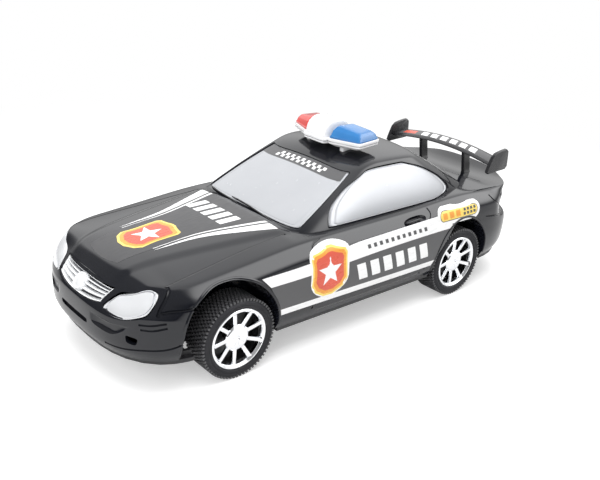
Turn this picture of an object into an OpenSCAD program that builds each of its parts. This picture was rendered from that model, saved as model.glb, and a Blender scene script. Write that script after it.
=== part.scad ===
// Toy police coupe with a friction drive: a moulded body shell on a flat chassis, four treaded
// wheels, a flywheel gearbox on the rear axle, a two-colour light bar and a raised rear wing.
// Millimetres, +X forward, +Y to the car's left, +Z up, origin on the ground under the middle.

/* [Layout] */
// Distance between the two axles
wheelbase = 160; // [154:1:168]
// Nose ahead of the front axle
front_overhang = 58; // [55:1:64]
// Tail behind the rear axle
rear_overhang = 66; // [63:1:72]
// Width of the body over the doors
body_w = 114; // [112:1:120]
// Bottom edge of the body above the ground
sill_z = 19; // [18:0.5:19.5]
// Outside distance between the left and right hubcaps
track_face = 109; // [106:1:110]

/* [Body shell] */
// Wall of the body shell
wall = 1.8; // [1.4:0.1:2.2]
// Top of the roof above the ground
roof_z = 90.3; // [87:0.5:94]
// Edge of the bonnet above the ground at the nose
nose_edge_z = 49.5; // [48:0.5:51]
// Top of the front fender above the ground over the axle
fender_z = 56.5; // [55:0.5:58]
// Waistline above the ground at the doors
waist_z = 60.5; // [59:0.5:62]
// Top of the rear haunch above the ground over the axle
haunch_z = 62.5; // [61:0.5:64]
// Lip at the end of the boot above the ground
tail_lip_z = 63.7; // [62:0.5:66]
// Length of the rounded nose in plan
nose_len = 43; // [38:1:46]
// Length of the rounded tail in plan
tail_len = 51; // [46:1:56]
// Height of the raised centre panel of the bonnet
panel_h = 0.9; // [0.4:0.1:1.4]
// Width of the rolled lip around each wheel arch
arch_lip = 2; // [1.5:0.1:3]
// Room ahead of and behind the front tyre in its arch
front_arch_room = 7; // [6:0.5:8]
// Room above the front tyre in its arch
front_arch_top = 11; // [8:0.5:12]
// Front arch centre ahead of the front axle
front_arch_lead = 5.5; // [4:0.5:5.5]
// Room ahead of and behind the rear tyre in its arch
rear_arch_room = 2.5; // [2:0.5:4]
// Room above the rear tyre in its arch
rear_arch_top = 7.8; // [6:0.5:10]

/* [Cabin] */
// Windscreen foot behind the front axle
screen_gap = 39.5; // [37:0.5:42]
// Rear window foot behind the rear axle
rear_gap = 28; // [26:0.5:30]
// Cabin inside the body side at the waist
cabin_inset = 9.5; // [8.5:0.5:11]
// Front edge of the roof ahead of the cabin's middle
roof_front = 27.75; // [26:0.25:30]
// Rear edge of the roof behind the cabin's middle
roof_rear = 23.25; // [21:0.25:25]
// Roof inside the body side
roof_inset = 21.5; // [20:0.5:23]
// Depth of the window faces below the body surface
window_sink = 0.5; // [0.3:0.1:0.7]
// Depth of the rebate that a window flange sits in, below the body surface
rebate = 1.1; // [1:0.1:1.2]
// Width of a window flange
flange = 1.6; // [1.2:0.1:1.8]
// Thickness of a window moulding
window_t = 1.2; // [1:0.1:1.6]

/* [Wheels] */
// Tyre diameter over the tread
tyre_d = 42; // [40:0.5:43]
// Tyre width
tyre_w = 16; // [14:0.5:17]
// Tyre bore, which is the rim diameter
rim_d = 31; // [29:0.5:32]
// Height of the tread blocks
tread_h = 0.8; // [0.5:0.1:1.2]
// Tread blocks around a tyre
tread_count = 40; // [30:2:48]
// Rows of tread blocks across a tyre
tread_rows = 4; // [3:1:5]
// Spokes of a hubcap
spoke_count = 9; // [7:1:11]
// Width of a hubcap spoke
spoke_w = 2.1; // [1.8:0.1:2.6]
// Diameter of the hubcap's middle disc
hub_disc_d = 13.4; // [12:0.2:15]
// Axle diameter
axle_d = 3; // [2.5:0.1:3.5]

/* [Chassis] */
// Thickness of the chassis floor
floor_t = 2; // [1.6:0.1:2.4]
// Height of the locating lip on the chassis floor
floor_lip_h = 2.5; // [2:0.5:4]
// Thickness of a bearing lug
lug_t = 4; // [3:0.5:5]
// Middle of a bearing lug inside the wheel notch of the chassis
lug_inset = 5.5; // [4.5:0.5:7]
// Diameter of the screw posts of the body shell
post_d = 6.4; // [6:0.2:8]

/* [Friction drive] */
// Gear module
gear_m = 0.75; // [0.7:0.05:0.8]
// Teeth of the two large gears
wheel_teeth = 30; // [28:1:32]
// Teeth of the two pinions
pinion_teeth = 12; // [11:1:13]
// Rise of the idler above the line between rear axle and flywheel, in degrees
idler_rise = 25; // [20:1:30]
// Flywheel diameter
flywheel_d = 25; // [22:0.5:26]
// Flywheel thickness
flywheel_t = 7; // [5:0.5:8]
// Diameter of the idler shaft and the flywheel shaft
shaft_d = 2.4; // [2:0.1:2.6]
// Wall of the gearbox
gearbox_wall = 1.6; // [1.4:0.1:2]

/* [Light bar and wing] */
// Half span of the light bar
bar_half = 28; // [26:0.5:30]
// Front of the light bar ahead of the cabin's middle
bar_front = 25.75; // [24:0.25:27]
// Depth of the light bar, front to back
bar_depth = 20; // [18:0.5:22]
// Underside of the light bar above the roof top
bar_gap = 0.9; // [0.6:0.1:2]
// Height of the light bar tray
tray_h = 5; // [4:0.5:6]
// Height of the coloured lenses above the tray
lens_h = 7.4; // [6:0.2:9]
// Height of the centre cover above the tray
cover_h = 9.4; // [8:0.2:11]
// Half span of the wing between its end plates
wing_half = 42; // [38:1:46]
// Chord of the wing blade
wing_chord = 10; // [8:0.5:12]
// Leading edge of the wing above the ground in the middle
wing_z = 75.2; // [73:0.5:78]
// Leading edge of the wing ahead of the tail
wing_lead = 28; // [26:0.5:30]
// Distance of the wing posts from the middle
wing_post_y = 18; // [16:0.5:22]
// Thickness of the wing posts and end plates
wing_plate_t = 2.2; // [1.8:0.1:2.6]

/* [Fits] */
// Clearance of a press fit, on the radius
press_fit = 0.02; // [0:0.01:0.03]
// Clearance of a running shaft, on the radius
run_fit = 0.06; // [0.04:0.01:0.1]
// Clearance around a moulded piece in its opening
seat_fit = 0.2; // [0.1:0.05:0.3]
// Play between meshing teeth
backlash = 0.12; // [0.08:0.02:0.2]

/* [Hidden] */
$fn = 64;

// Axles and ends of the car
front_axle_x = (wheelbase + rear_overhang - front_overhang) / 2;
rear_axle_x = front_axle_x - wheelbase;
nose_x = front_axle_x + front_overhang;
tail_x = rear_axle_x - rear_overhang;
cabin_foot = (wheelbase - screen_gap + rear_gap) / 2;
cabin_x = front_axle_x - screen_gap - cabin_foot;
body_half = body_w / 2;
cabin_half = body_half - cabin_inset;
roof_half = body_half - roof_inset;
tyre_r = tyre_d / 2;
axle_z = tyre_r;
axle_r = axle_d / 2;
wheel_face = track_face / 2;
shaft_r = shaft_d / 2;

// Plan curve of the body: a rounded nose, straight flanks and a rounded tail
nose_power = 2.6;
tail_power = 2.8;
// Section knots from the sill to the deck edge: how far each lies inside the plan curve, and its
// share of the height there, for the nose, the flanks and the tail
nose_in = [3.5, 0.4, 0, 0.3, 1, 3.5, 6.2, 8.5];
nose_up = [0, 0.17, 0.42, 0.62, 0.69, 0.82, 0.92, 1];
side_in = [4, 1.5, 0, 0.2, 0.6, 1.2, 2.6, 7];
side_up = [0, 0.13, 0.35, 0.54, 0.64, 0.75, 0.87, 1];
tail_in = [4, 1, 0, 0.5, 4.5, 5.5, 4, 3];
tail_up = [0, 0.14, 0.34, 0.53, 0.58, 0.72, 0.9, 1];
last_knot = len(side_in) - 1;
nose_blend = [nose_x - 34, nose_x - 10];
tail_blend = [tail_x + 36, tail_x + 14];
// Height of the deck edge and of the centre line along the car
edge_line = [
    [tail_x + 3, tail_lip_z], [tail_x + 6, tail_lip_z - 1.7], [tail_x + 11, tail_lip_z - 3.1],
    [tail_x + 17, tail_lip_z - 3.3], [tail_x + 36, haunch_z - 1.5], [rear_axle_x, haunch_z],
    [rear_axle_x + wheelbase / 4, waist_z + 0.5], [rear_axle_x + wheelbase / 2, waist_z],
    [front_axle_x - wheelbase / 4, waist_z - 0.5], [front_axle_x, fender_z], [nose_x - 28, fender_z - 2.5],
    [nose_x - 21, fender_z - 2.3], [nose_x - 17, fender_z - 3.3], [nose_x - 13, nose_edge_z],
    [nose_x - 11, nose_edge_z - 0.7], [nose_x - 8.5, nose_edge_z]
];
spine_line = [
    [tail_x + 3, tail_lip_z], [tail_x + 11, tail_lip_z - 2.7], [tail_x + 20, tail_lip_z - 3.9],
    [tail_x + 30, tail_lip_z - 3.2], [cabin_x - cabin_foot, haunch_z], [cabin_x - 30, waist_z + 3.5],
    [cabin_x + 30, waist_z + 3.5], [cabin_x + cabin_foot - 2, waist_z + 2],
    [cabin_x + cabin_foot + 5, waist_z + 2.7], [front_axle_x + 25, fender_z + 2],
    [nose_x - 15, nose_edge_z + 4.9], [nose_x - 8.5, nose_edge_z + 0.5]
];
// The raised bonnet panel narrows from the windscreen to the grille
panel_back = [cabin_x + cabin_foot - 2.5, 38];
panel_tip = [nose_x - 13, 22];
panel_step = 2.5;
deck_power = 2.4;

// Cabin rings: power of the corners at the front and rear, and fall of the roof from its peak
foot_z = waist_z + 0.5;
foot_power = [7, 3.5];
roof_power = [6, 6];
roof_peak_x = cabin_x + 8.75;
roof_fall = [0.011, 0.0012];
roof_crown = 0.0021;
cabin_bulge = 1.6;

// Blending helpers
function mix(a, b, t) = a + (b - a) * t;
function clamp(t) = min(1, max(0, t));
function ease(a, b, x) = let (t = clamp((x - a) / (b - a))) t * t * (3 - 2 * t);
function slope(p, i) = let (a = max(i - 1, 0), b = min(i + 1, len(p) - 1))
    (p[b][1] - p[a][1]) / (p[b][0] - p[a][0]);
// Smooth curve through the points p, each an [x, value] pair
function through(p, x, i = 0) =
    x <= p[0][0] ? p[0][1]
    : i >= len(p) - 1 ? p[len(p) - 1][1]
    : x > p[i + 1][0] ? through(p, x, i + 1)
    : let (h = p[i + 1][0] - p[i][0], t = (x - p[i][0]) / h, t2 = t * t, t3 = t2 * t)
        (2 * t3 - 3 * t2 + 1) * p[i][1] + (t3 - 2 * t2 + t) * h * slope(p, i)
        + (3 * t2 - 2 * t3) * p[i + 1][1] + (t3 - t2) * h * slope(p, i + 1);
function knots(v, k) = through([for (i = [0:len(v) - 1]) [i, v[i]]], k);

// Quarter of a unit superellipse of power n, for psi from 0 to 90 degrees, in even steps
function quarter(psi, n) = let (c = pow(0.5, 1 / n))
    psi <= 45
        ? let (y = psi / 45 * c) [pow(1 - pow(y, n), 1 / n), y]
        : let (x = max(0, (90 - psi) / 45 * c)) [x, pow(1 - pow(x, n), 1 / n)];

// Plan curve of the left half, with its outward normal: u runs 0 to 1 round the nose,
// 1 to 2 along the flank and 2 to 3 round the tail
function unit(v) = v / norm(v);
function plan(u) =
    u <= 1 ? let (q = quarter(90 * u, nose_power))
        [[nose_x - nose_len + nose_len * q[0], body_half * q[1]],
         unit([pow(q[0], nose_power - 1) / nose_len, pow(q[1], nose_power - 1) / body_half])]
    : u < 2 ? [[mix(nose_x - nose_len, tail_x + tail_len, u - 1), body_half], [0, 1]]
    : let (q = quarter(90 * (3 - u), tail_power))
        [[tail_x + tail_len - tail_len * q[0], body_half * q[1]],
         unit([-pow(q[0], tail_power - 1) / tail_len, pow(q[1], tail_power - 1) / body_half])];

// Value of three section lists at knot k, blended by place along the car
function section(nose, side, tail, k, x) = mix(
    mix(knots(side, k), knots(nose, k), ease(nose_blend[0], nose_blend[1], x)),
    knots(tail, k), ease(tail_blend[0], tail_blend[1], x));

// Point on the body wall at u and knot k, moved inwards by off
function wall_point(u, k, off) = let (p = plan(u), at = p[0], out = p[1], x = at[0],
    deep = section(nose_in, side_in, tail_in, k, x) + off,
    edge_x = x - out[0] * (section(nose_in, side_in, tail_in, last_knot, x) + off),
    up = section(nose_up, side_up, tail_up, k, x))
    [x - out[0] * deep, at[1] - out[1] * deep,
     mix(sill_z, through(edge_line, edge_x), up) - off * ease(last_knot - 2, last_knot, k)];

// Height of the deck, which is the bonnet, scuttle and boot, at x, y with its edge at edge_y
function deck_z(x, y, edge_y) = let (s = clamp(y / max(edge_y, 0.001)),
    half = mix(panel_back[1], panel_tip[1], (x - panel_back[0]) / (panel_tip[0] - panel_back[0])),
    lift = panel_h * ease(half + panel_step, half - panel_step, y)
        * ease(panel_back[0] - 2, panel_back[0] + 4, x) * ease(panel_tip[0] + 5, panel_tip[0] - 1, x))
    mix(through(spine_line, x), through(edge_line, x), pow(s, deck_power)) + lift;

// Body surface: q runs 0 to 1 up the wall and 1 to 2 over the deck to the centre line
function body_point(u, q, off) =
    q <= 1 ? wall_point(u, last_knot * q, off)
    : let (e = wall_point(u, last_knot, off), y = e[1] * (2 - q)) [e[0], y, deck_z(e[0], y, e[1]) - off];

// Cabin ring at phi, from 0 in front to 180 behind, with half lengths front and rear
function ring(phi, front, rear, half, power) =
    phi <= 90 ? let (q = quarter(phi, power[0])) [front * q[0], half * q[1]]
    : let (q = quarter(180 - phi, power[1])) [-rear * q[0], half * q[1]];
function roof_height(x, y) = roof_z - roof_fall[x > roof_peak_x ? 0 : 1] * pow(x - roof_peak_x, 2)
    - roof_crown * y * y;
// Cabin surface: t runs 0 to 1 from the waist to the roof edge and 1 to 2 over the roof
function cabin_half_point(phi, t, off) = let (
    foot = ring(phi, cabin_foot - off, cabin_foot - off, cabin_half - off, foot_power),
    top = ring(phi, roof_front - off, roof_rear - off, roof_half - off, roof_power),
    s = clamp(t), swell = cabin_bulge * 4 * s * (1 - s), r = 2 - max(1, t))
    t > 1 ? [cabin_x + top[0] * r, top[1] * r, roof_height(cabin_x + top[0] * r, top[1] * r) - off]
    : [cabin_x + mix(foot[0], top[0], s) + swell * cos(phi), mix(foot[1], top[1], s) + swell * sin(phi),
       mix(foot_z, roof_height(cabin_x + top[0], top[1]), t) - off * s];
function cabin_point(phi, t, off) = let (p = cabin_half_point(abs(phi), t, off))
    [p[0], phi < 0 ? -p[1] : p[1], p[2]];

// Triangles of the quad a, b, c, d, without those that have shrunk to a line
function pair(a, b, c, d) = [for (f = [[a, b, c], [a, c, d]])
    if (f[0] != f[1] && f[1] != f[2] && f[2] != f[0]) f];

// Solid of the lower body, moved inwards by off and reaching down to the level foot
module body_solid(off, foot, steps, wall_rows, deck_rows) {
    us = [for (s = [0:2]) for (i = [0:steps[s] - 1]) s + i / steps[s], 3];
    qs = concat([for (i = [0:wall_rows]) i / wall_rows], [for (i = [1:deck_rows]) 1 + i / deck_rows]);
    n = len(qs) - 1;
    m = len(us) - 1;
    across = 2 * n + 1;
    points = [for (u = us) for (j = [0:2 * n])
        let (p = body_point(u, qs[min(j, 2 * n - j)], off))
        [p[0], j > n ? -p[1] : p[1], min(j, 2 * n - j) == 0 ? foot : p[2]]];
    // At the nose and the tail both halves share the centre line, up to the deck edge
    function at(i, j) = let (k = min(j, 2 * n - j))
        i == 0 || i == m ? i * across + min(k, wall_rows) : i * across + (k == n ? n : j);
    faces = concat(
        [for (i = [0:m - 1]) for (j = [0:2 * n - 1])
            each pair(at(i, j), at(i, j + 1), at(i + 1, j + 1), at(i + 1, j))],
        [for (i = [0:m - 1]) each pair(at(i, 2 * n), at(i, 0), at(i + 1, 0), at(i + 1, 2 * n))]);
    polyhedron(points, faces, convexity = 8);
}

// Solid of the cabin, moved inwards by off and reaching down to the level foot
module cabin_solid(off, foot, columns, wall_rows, roof_rows) {
    ts = concat([for (i = [0:wall_rows]) i / wall_rows], [for (i = [1:roof_rows - 1]) 1 + i / roof_rows]);
    rows = len(ts);
    phis = [for (i = [0:columns - 1]) -180 + 360 * i / columns];
    points = concat(
        [for (phi = phis) let (p = cabin_point(phi, 0, off)) [p[0], p[1], foot]],
        [for (t = ts) for (phi = phis) cabin_point(phi, t, off)],
        [[cabin_x, 0, foot], cabin_point(0, 2, off)]);
    low = (rows + 1) * columns;
    function next(i) = (i + 1) % columns;
    faces = concat(
        [for (r = [0:rows - 1]) for (i = [0:columns - 1])
            each pair(r * columns + i, (r + 1) * columns + i,
                (r + 1) * columns + next(i), r * columns + next(i))],
        [for (i = [0:columns - 1]) [low, i, next(i)]],
        [for (i = [0:columns - 1]) [low + 1, rows * columns + next(i), rows * columns + i]]);
    polyhedron(points, faces, convexity = 6);
}

// Points around the edge of a grid, in order
function rim(g) = let (r = len(g) - 1, c = len(g[0]) - 1) concat(
    [for (j = [0:c]) g[0][j]], [for (i = [1:r]) g[i][c]],
    [for (j = [c - 1:-1:0]) g[r][j]], [for (i = [r - 1:-1:1]) g[i][0]]);

// Closed plate between the grids front and back, whose sides pass through the loops of edge points
module plate(front, back, loops = []) {
    rows = len(front) - 1;
    cols = len(front[0]) - 1;
    count = (rows + 1) * (cols + 1);
    around = 2 * (rows + cols);
    points = concat([for (r = front) each r], [for (r = back) each r], [for (l = loops) each l]);
    function cell(i, j) = i * (cols + 1) + j;
    edge = [for (k = [0:around - 1])
        k <= cols ? cell(0, k)
        : k <= cols + rows ? cell(k - cols, cols)
        : k <= 2 * cols + rows ? cell(rows, 2 * cols + rows - k)
        : cell(around - k, 0)];
    levels = concat([edge],
        [for (l = [0:len(loops) - 1]) [for (k = [0:around - 1]) 2 * count + l * around + k]],
        [[for (e = edge) count + e]]);
    faces = concat(
        [for (i = [0:rows - 1]) for (j = [0:cols - 1]) each concat(
            pair(cell(i, j), cell(i + 1, j), cell(i + 1, j + 1), cell(i, j + 1)),
            pair(count + cell(i, j), count + cell(i, j + 1),
                count + cell(i + 1, j + 1), count + cell(i + 1, j)))],
        [for (v = [0:len(levels) - 2]) for (k = [0:around - 1]) let (m = (k + 1) % around)
            each pair(levels[v][k], levels[v][m], levels[v + 1][m], levels[v + 1][k])]);
    polyhedron(points, faces, convexity = 4);
}

// Outlines on the surfaces. Each takes a grow value in millimetres, which widens the outline.
mm_phi = 0.9;
mm_t = 0.035;
mm_u = 0.011;
mm_q = 0.022;

screen_low = 0.06;
screen_high = 0.94;
function screen_grid(side, grow, off) = let (rows = 4, cols = 12)
    [for (i = [0:rows]) let (s = i / rows,
        t = mix(screen_low - grow * mm_t, screen_high + grow * mm_t, s),
        edge = side > 0 ? mix(41.5, 44.5, s) + grow * mm_phi : mix(38, 40, s) + grow * mm_phi)
        [for (j = [0:cols]) cabin_point((side > 0 ? 0 : 180) + mix(-edge, edge, j / cols)
            - (side < 0 && j * 2 > cols ? 360 : 0), t, off)]];

side_low = 0.04;
side_high = 0.92;
side_front = [[0, 55], [0.2, 52], [0.38, 48.6], [0.55, 48], [0.78, 50], [1, 60]];
side_rear = [[0, 112], [0.12, 124], [0.3, 128], [0.6, 127.5], [0.85, 120], [1, 104]];
function side_grid(side, grow, off) = let (rows = 8, cols = 8)
    [for (i = [0:rows]) let (s = i / rows, t = mix(side_low - grow * mm_t, side_high + grow * mm_t, s),
        a = through(side_front, s) - grow * mm_phi, b = through(side_rear, s) + grow * mm_phi)
        [for (j = [0:cols]) cabin_point(side * mix(a, b, side > 0 ? j / cols : 1 - j / cols), t, off)]];

lamp_span = [0.27, 0.595];
lamp_low = [[0.27, 0.61], [0.35, 0.555], [0.45, 0.515], [0.53, 0.575], [0.575, 0.72], [0.595, 0.83]];
lamp_high = [[0.27, 0.65], [0.3, 0.84], [0.34, 0.93], [0.43, 0.945], [0.535, 0.955], [0.595, 0.9]];
function lamp_grid(side, grow, off) = let (rows = 4, cols = 12)
    [for (i = [0:rows]) [for (j = [0:cols]) let (c = side > 0 ? j / cols : 1 - j / cols,
        at = mix(lamp_span[0], lamp_span[1], c),
        u = mix(lamp_span[0] - grow * mm_u, lamp_span[1] + grow * mm_u, c),
        q = mix(through(lamp_low, at) - grow * mm_q, through(lamp_high, at) + grow * mm_q, i / rows),
        p = body_point(u, q, off)) [p[0], side * p[1], p[2]]]];

grille_edge = [0.24, 0.285];
function grille_low(c) = mix(0.585, 0.66, c * c);
function grille_high(c) = mix(0.94, 0.965, c * c);
// Grid of the grille for shares h of its height and c of its half width
function grille_point(h, c, grow, off) = let (
    u = abs(c) * (mix(grille_edge[0], grille_edge[1], h) + grow * mm_u),
    q = mix(grille_low(c), grille_high(c), h) + grow * mm_q * (2 * h - 1), p = body_point(u, q, off))
    [p[0], c < 0 ? -p[1] : p[1], p[2]];
slat_count = 3;
slat_top = 0.3;
slat_w = 0.12;
rim_w = [0.1, 0.07];
step_w = 0.012;
slat_gap = (1 - 2 * rim_w[0] - slat_count * slat_w) / (slat_count + 1);
// Heights in turn: each bar's two edges, with a step down on either side
bar_edges = concat([0, rim_w[0]],
    [for (i = [1:slat_count]) let (low = rim_w[0] + i * slat_gap + (i - 1) * slat_w)
        each [low, low + slat_w]],
    [1 - rim_w[0], 1]);
grille_rows = [for (i = [0:len(bar_edges) - 1]) let (h = bar_edges[i]) each
    i == 0 || i == len(bar_edges) - 1 ? [[h, true]]
    : i % 2 == 0 ? [[h - step_w, false], [h, true]] : [[h, true], [h + step_w, false]]];
grille_cols = concat([[-1, true], [rim_w[1] - 1, true], [rim_w[1] - 1 + step_w, false]],
    [for (j = [1:7]) [(j / 4 - 1) * (1 - rim_w[1]), false]],
    [[1 - rim_w[1] - step_w, false], [1 - rim_w[1], true], [1, true]]);
function grille_grid(grow, off) = [for (r = grille_rows)
    [for (c = grille_cols) grille_point(r[0], c[0], grow, off)]];

// How far a cut reaches past both faces of the shell
cut_out = 2;
// Front of a panel's flange, just clear of its rebate
panel_seat = rebate + seat_fit / 2;
lamp_flange = flange / 2;

// Cuts through the shell for the panels: an opening, and behind it a rebate for the flange
module screen_cut(side) {
    open = seat_fit;
    wide = flange + seat_fit;
    plate(screen_grid(side, open, -cut_out), screen_grid(side, wide, wall + cut_out),
        [rim(screen_grid(side, open, rebate)), rim(screen_grid(side, wide, rebate))]);
}
module side_cut(side) {
    open = seat_fit;
    wide = flange + seat_fit;
    plate(side_grid(side, open, -cut_out), side_grid(side, wide, wall + cut_out),
        [rim(side_grid(side, open, rebate)), rim(side_grid(side, wide, rebate))]);
}
module lamp_cut(side) {
    open = seat_fit;
    wide = lamp_flange + seat_fit;
    plate(lamp_grid(side, open, -cut_out), lamp_grid(side, wide, wall + cut_out),
        [rim(lamp_grid(side, open, window_sink)), rim(lamp_grid(side, open, rebate)),
         rim(lamp_grid(side, wide, rebate)), rim(lamp_grid(side, wide, panel_seat + window_t))]);
}
module grille_cut() {
    plate(grille_grid(seat_fit, -cut_out), grille_grid(seat_fit, wall + cut_out),
        [rim(grille_grid(seat_fit, slat_top)), rim(grille_grid(seat_fit, wall + window_t))]);
}

// Wheel arch: an ellipse over the axle, open below
arches = [
    [front_axle_x + front_arch_lead, tyre_r + front_arch_room, tyre_r + front_arch_top],
    [rear_axle_x, tyre_r + rear_arch_room, tyre_r + rear_arch_top]
];
arch_in = wheel_face - tyre_w - 2;
lip_proud = 0.5;
module arch(a, grow, depth) {
    hull() {
        translate([a[0], 0, axle_z]) rotate([90, 0, 0])
            linear_extrude(depth) scale([a[1] + grow, a[2] + grow]) circle(1, $fn = 40);
        translate([a[0] - a[1] - grow, -depth, sill_z - wall]) cube([2 * (a[1] + grow), depth, 1]);
    }
}

// Notches of the chassis floor beside the tyres, and the bearing lugs inside them
notch_clear = 3;
notch_in = wheel_face - tyre_w - notch_clear;
lug_y = notch_in - lug_inset;

// Places of the screw posts that join body and chassis
post_lead = [30, 27];
post_inset = 8.5;
post_rise = 7;
post_x = [nose_x - post_lead[0], tail_x + post_lead[1]];
post_y = notch_in - post_inset;
post_seat_z = sill_z + post_rise;
post_top = [fender_z, tail_lip_z - 3];
pilot_r = 1;
screw_r = 1.2;
screw_head_r = 2.6;
screw_head_h = 1.8;
screw_bite = 8;
post_sides = 20;
pilot_hole_r = (pilot_r + press_fit) / cos(180 / post_sides);
post_r = post_d / 2;

// Wing and light bar feet pass through slots in the shell
wing_x = tail_x + wing_lead;
wing_crown = 4.5;
wing_rise = 2.8;
wing_t = 2;
post_foot = [wing_x - 10, wing_x - 4];
post_head = [wing_x - 7.5, wing_x - 1.5];
post_hold = 5;
bar_x = cabin_x + bar_front;
bar_z = roof_z + bar_gap;
bar_foot = [bar_x - 17, bar_x - 8];
bar_foot_y = 14;
bar_foot_t = 3;
bar_hold = 5;

module slot(x, y, z, t, grow) {
    translate([x[0] - grow, y - t / 2 - grow, z[0]])
        cube([x[1] - x[0] + 2 * grow, t + 2 * grow, z[1] - z[0]]);
}

module body_shell() {
    color([0.05, 0.05, 0.06])
    difference() {
        union() {
            body_solid(0, sill_z, [12, 16, 10], 11, 5);
            cabin_solid(0, foot_z - 8, 40, 5, 3);
            intersection() {
                body_solid(-lip_proud, sill_z + 1, [8, 12, 6], 7, 2);
                for (side = [-1, 1], a = arches)
                    translate([0, side > 0 ? body_w : -arch_in, 0]) arch(a, arch_lip, body_w - arch_in);
            }
        }
        difference() {
            union() {
                body_solid(wall, sill_z - wall, [10, 10, 8], 6, 2);
                cabin_solid(wall, foot_z - 12, 32, 3, 2);
            }
            for (side = [-1, 1], i = [0, 1])
                hull() {
                    translate([post_x[i], side * post_y, post_seat_z])
                        cylinder(r = post_r, h = post_top[i] - post_seat_z, $fn = post_sides);
                    translate([post_x[i] - post_r - 4, side * post_y - 1, post_top[i] - 4])
                        cube([2 * post_r + 8, 2, 4]);
                }
        }
        for (side = [-1, 1], a = arches)
            translate([0, side > 0 ? body_w : -arch_in, 0]) arch(a, 0, body_w - arch_in);
        for (side = [-1, 1], i = [0, 1])
            translate([post_x[i], side * post_y, post_seat_z - 1])
                cylinder(r = pilot_hole_r, h = screw_bite + 3, $fn = post_sides);
        for (side = [-1, 1]) {
            side_cut(side);
            screen_cut(side);
            lamp_cut(side);
            slot(post_foot, side * wing_post_y, [waist_z - 10, wing_z], wing_plate_t, seat_fit);
            slot(bar_foot, side * bar_foot_y, [roof_z - 10, bar_z], bar_foot_t, seat_fit);
        }
        grille_cut();
    }
}

module windscreen() {
    color([0.78, 0.79, 0.8])
    plate(screen_grid(1, 0, window_sink), screen_grid(1, flange, panel_seat + window_t),
        [rim(screen_grid(1, 0, panel_seat)), rim(screen_grid(1, flange, panel_seat))]);
}

module rear_window() {
    color([0.78, 0.79, 0.8])
    plate(screen_grid(-1, 0, window_sink), screen_grid(-1, flange, panel_seat + window_t),
        [rim(screen_grid(-1, 0, panel_seat)), rim(screen_grid(-1, flange, panel_seat))]);
}

module side_window(side) {
    color([0.78, 0.79, 0.8])
    plate(side_grid(side, 0, window_sink), side_grid(side, flange, panel_seat + window_t),
        [rim(side_grid(side, 0, panel_seat)), rim(side_grid(side, flange, panel_seat))]);
}

module headlight(side) {
    color([0.85, 0.86, 0.87])
    plate(lamp_grid(side, 0, window_sink), lamp_grid(side, lamp_flange, panel_seat + window_t),
        [rim(lamp_grid(side, 0, panel_seat)), rim(lamp_grid(side, lamp_flange, panel_seat))]);
}

// Chrome grille: a surround and slats standing on a back plate, in one moulding
module grille() {
    front = [for (r = grille_rows) [for (c = grille_cols)
        grille_point(r[0], c[0], 0, r[1] || c[1] ? slat_top : wall)]];
    color([0.85, 0.86, 0.87])
    plate(front, grille_grid(0, wall + window_t));
}

// Plan outline of the body, inset by d
function plan_outline(d, steps) = let (
    half = [for (i = [0:3 * steps]) let (p = plan(i / steps)) p[0] - p[1] * d])
    concat(half, [for (i = [3 * steps - 1:-1:1]) [half[i][0], -half[i][1]]]);

// Gearbox places: the idler sits above the line from rear axle to flywheel
gear_far = gear_m * (wheel_teeth + pinion_teeth) / 2;
idler_x = rear_axle_x + gear_far * cos(idler_rise);
idler_z = axle_z + gear_far * sin(idler_rise);
flywheel_x = rear_axle_x + 2 * gear_far * cos(idler_rise);
flywheel_z = axle_z;
gear_t = 4;
drive_y = -3;
idler_y = drive_y + 0.5;
flywheel_y = 3;
box_y = [-9, flywheel_y + flywheel_t + 1];
box_split = 2;
gear_tip = gear_m * wheel_teeth / 2 + 0.8 * gear_m;
box_gap = 0.8;
gear_room = gear_tip + box_gap;
fly_room = flywheel_d / 2 + box_gap;
sleeve_r = axle_r + 2;
sleeve_end = lug_y - lug_t - 1;
shaft_shy = 0.4;
shaft_end = box_y[1] + gearbox_wall - shaft_shy;
shaft_l = box_y[1] - box_y[0] + 2 * (gearbox_wall - shaft_shy);
ear_l = 8;
ear_t = 2.5;
ear_x = [flywheel_x + fly_room + gearbox_wall, rear_axle_x - gear_room - gearbox_wall];
ear_y = [7.5, -4.5];
ear_w = 8;

floor_z = sill_z - floor_t;
floor_in = side_in[0] + 0.3;
lip_clear = 0.8;
notch_room = 3;
lug_side = 5;
lug_w = axle_d + lug_side;

module screw(x, y, z, length) {
    translate([x, y, z]) {
        cylinder(r = screw_head_r, h = screw_head_h);
        translate([0, 0, screw_head_h]) cylinder(r = pilot_r, h = length);
    }
}

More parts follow.
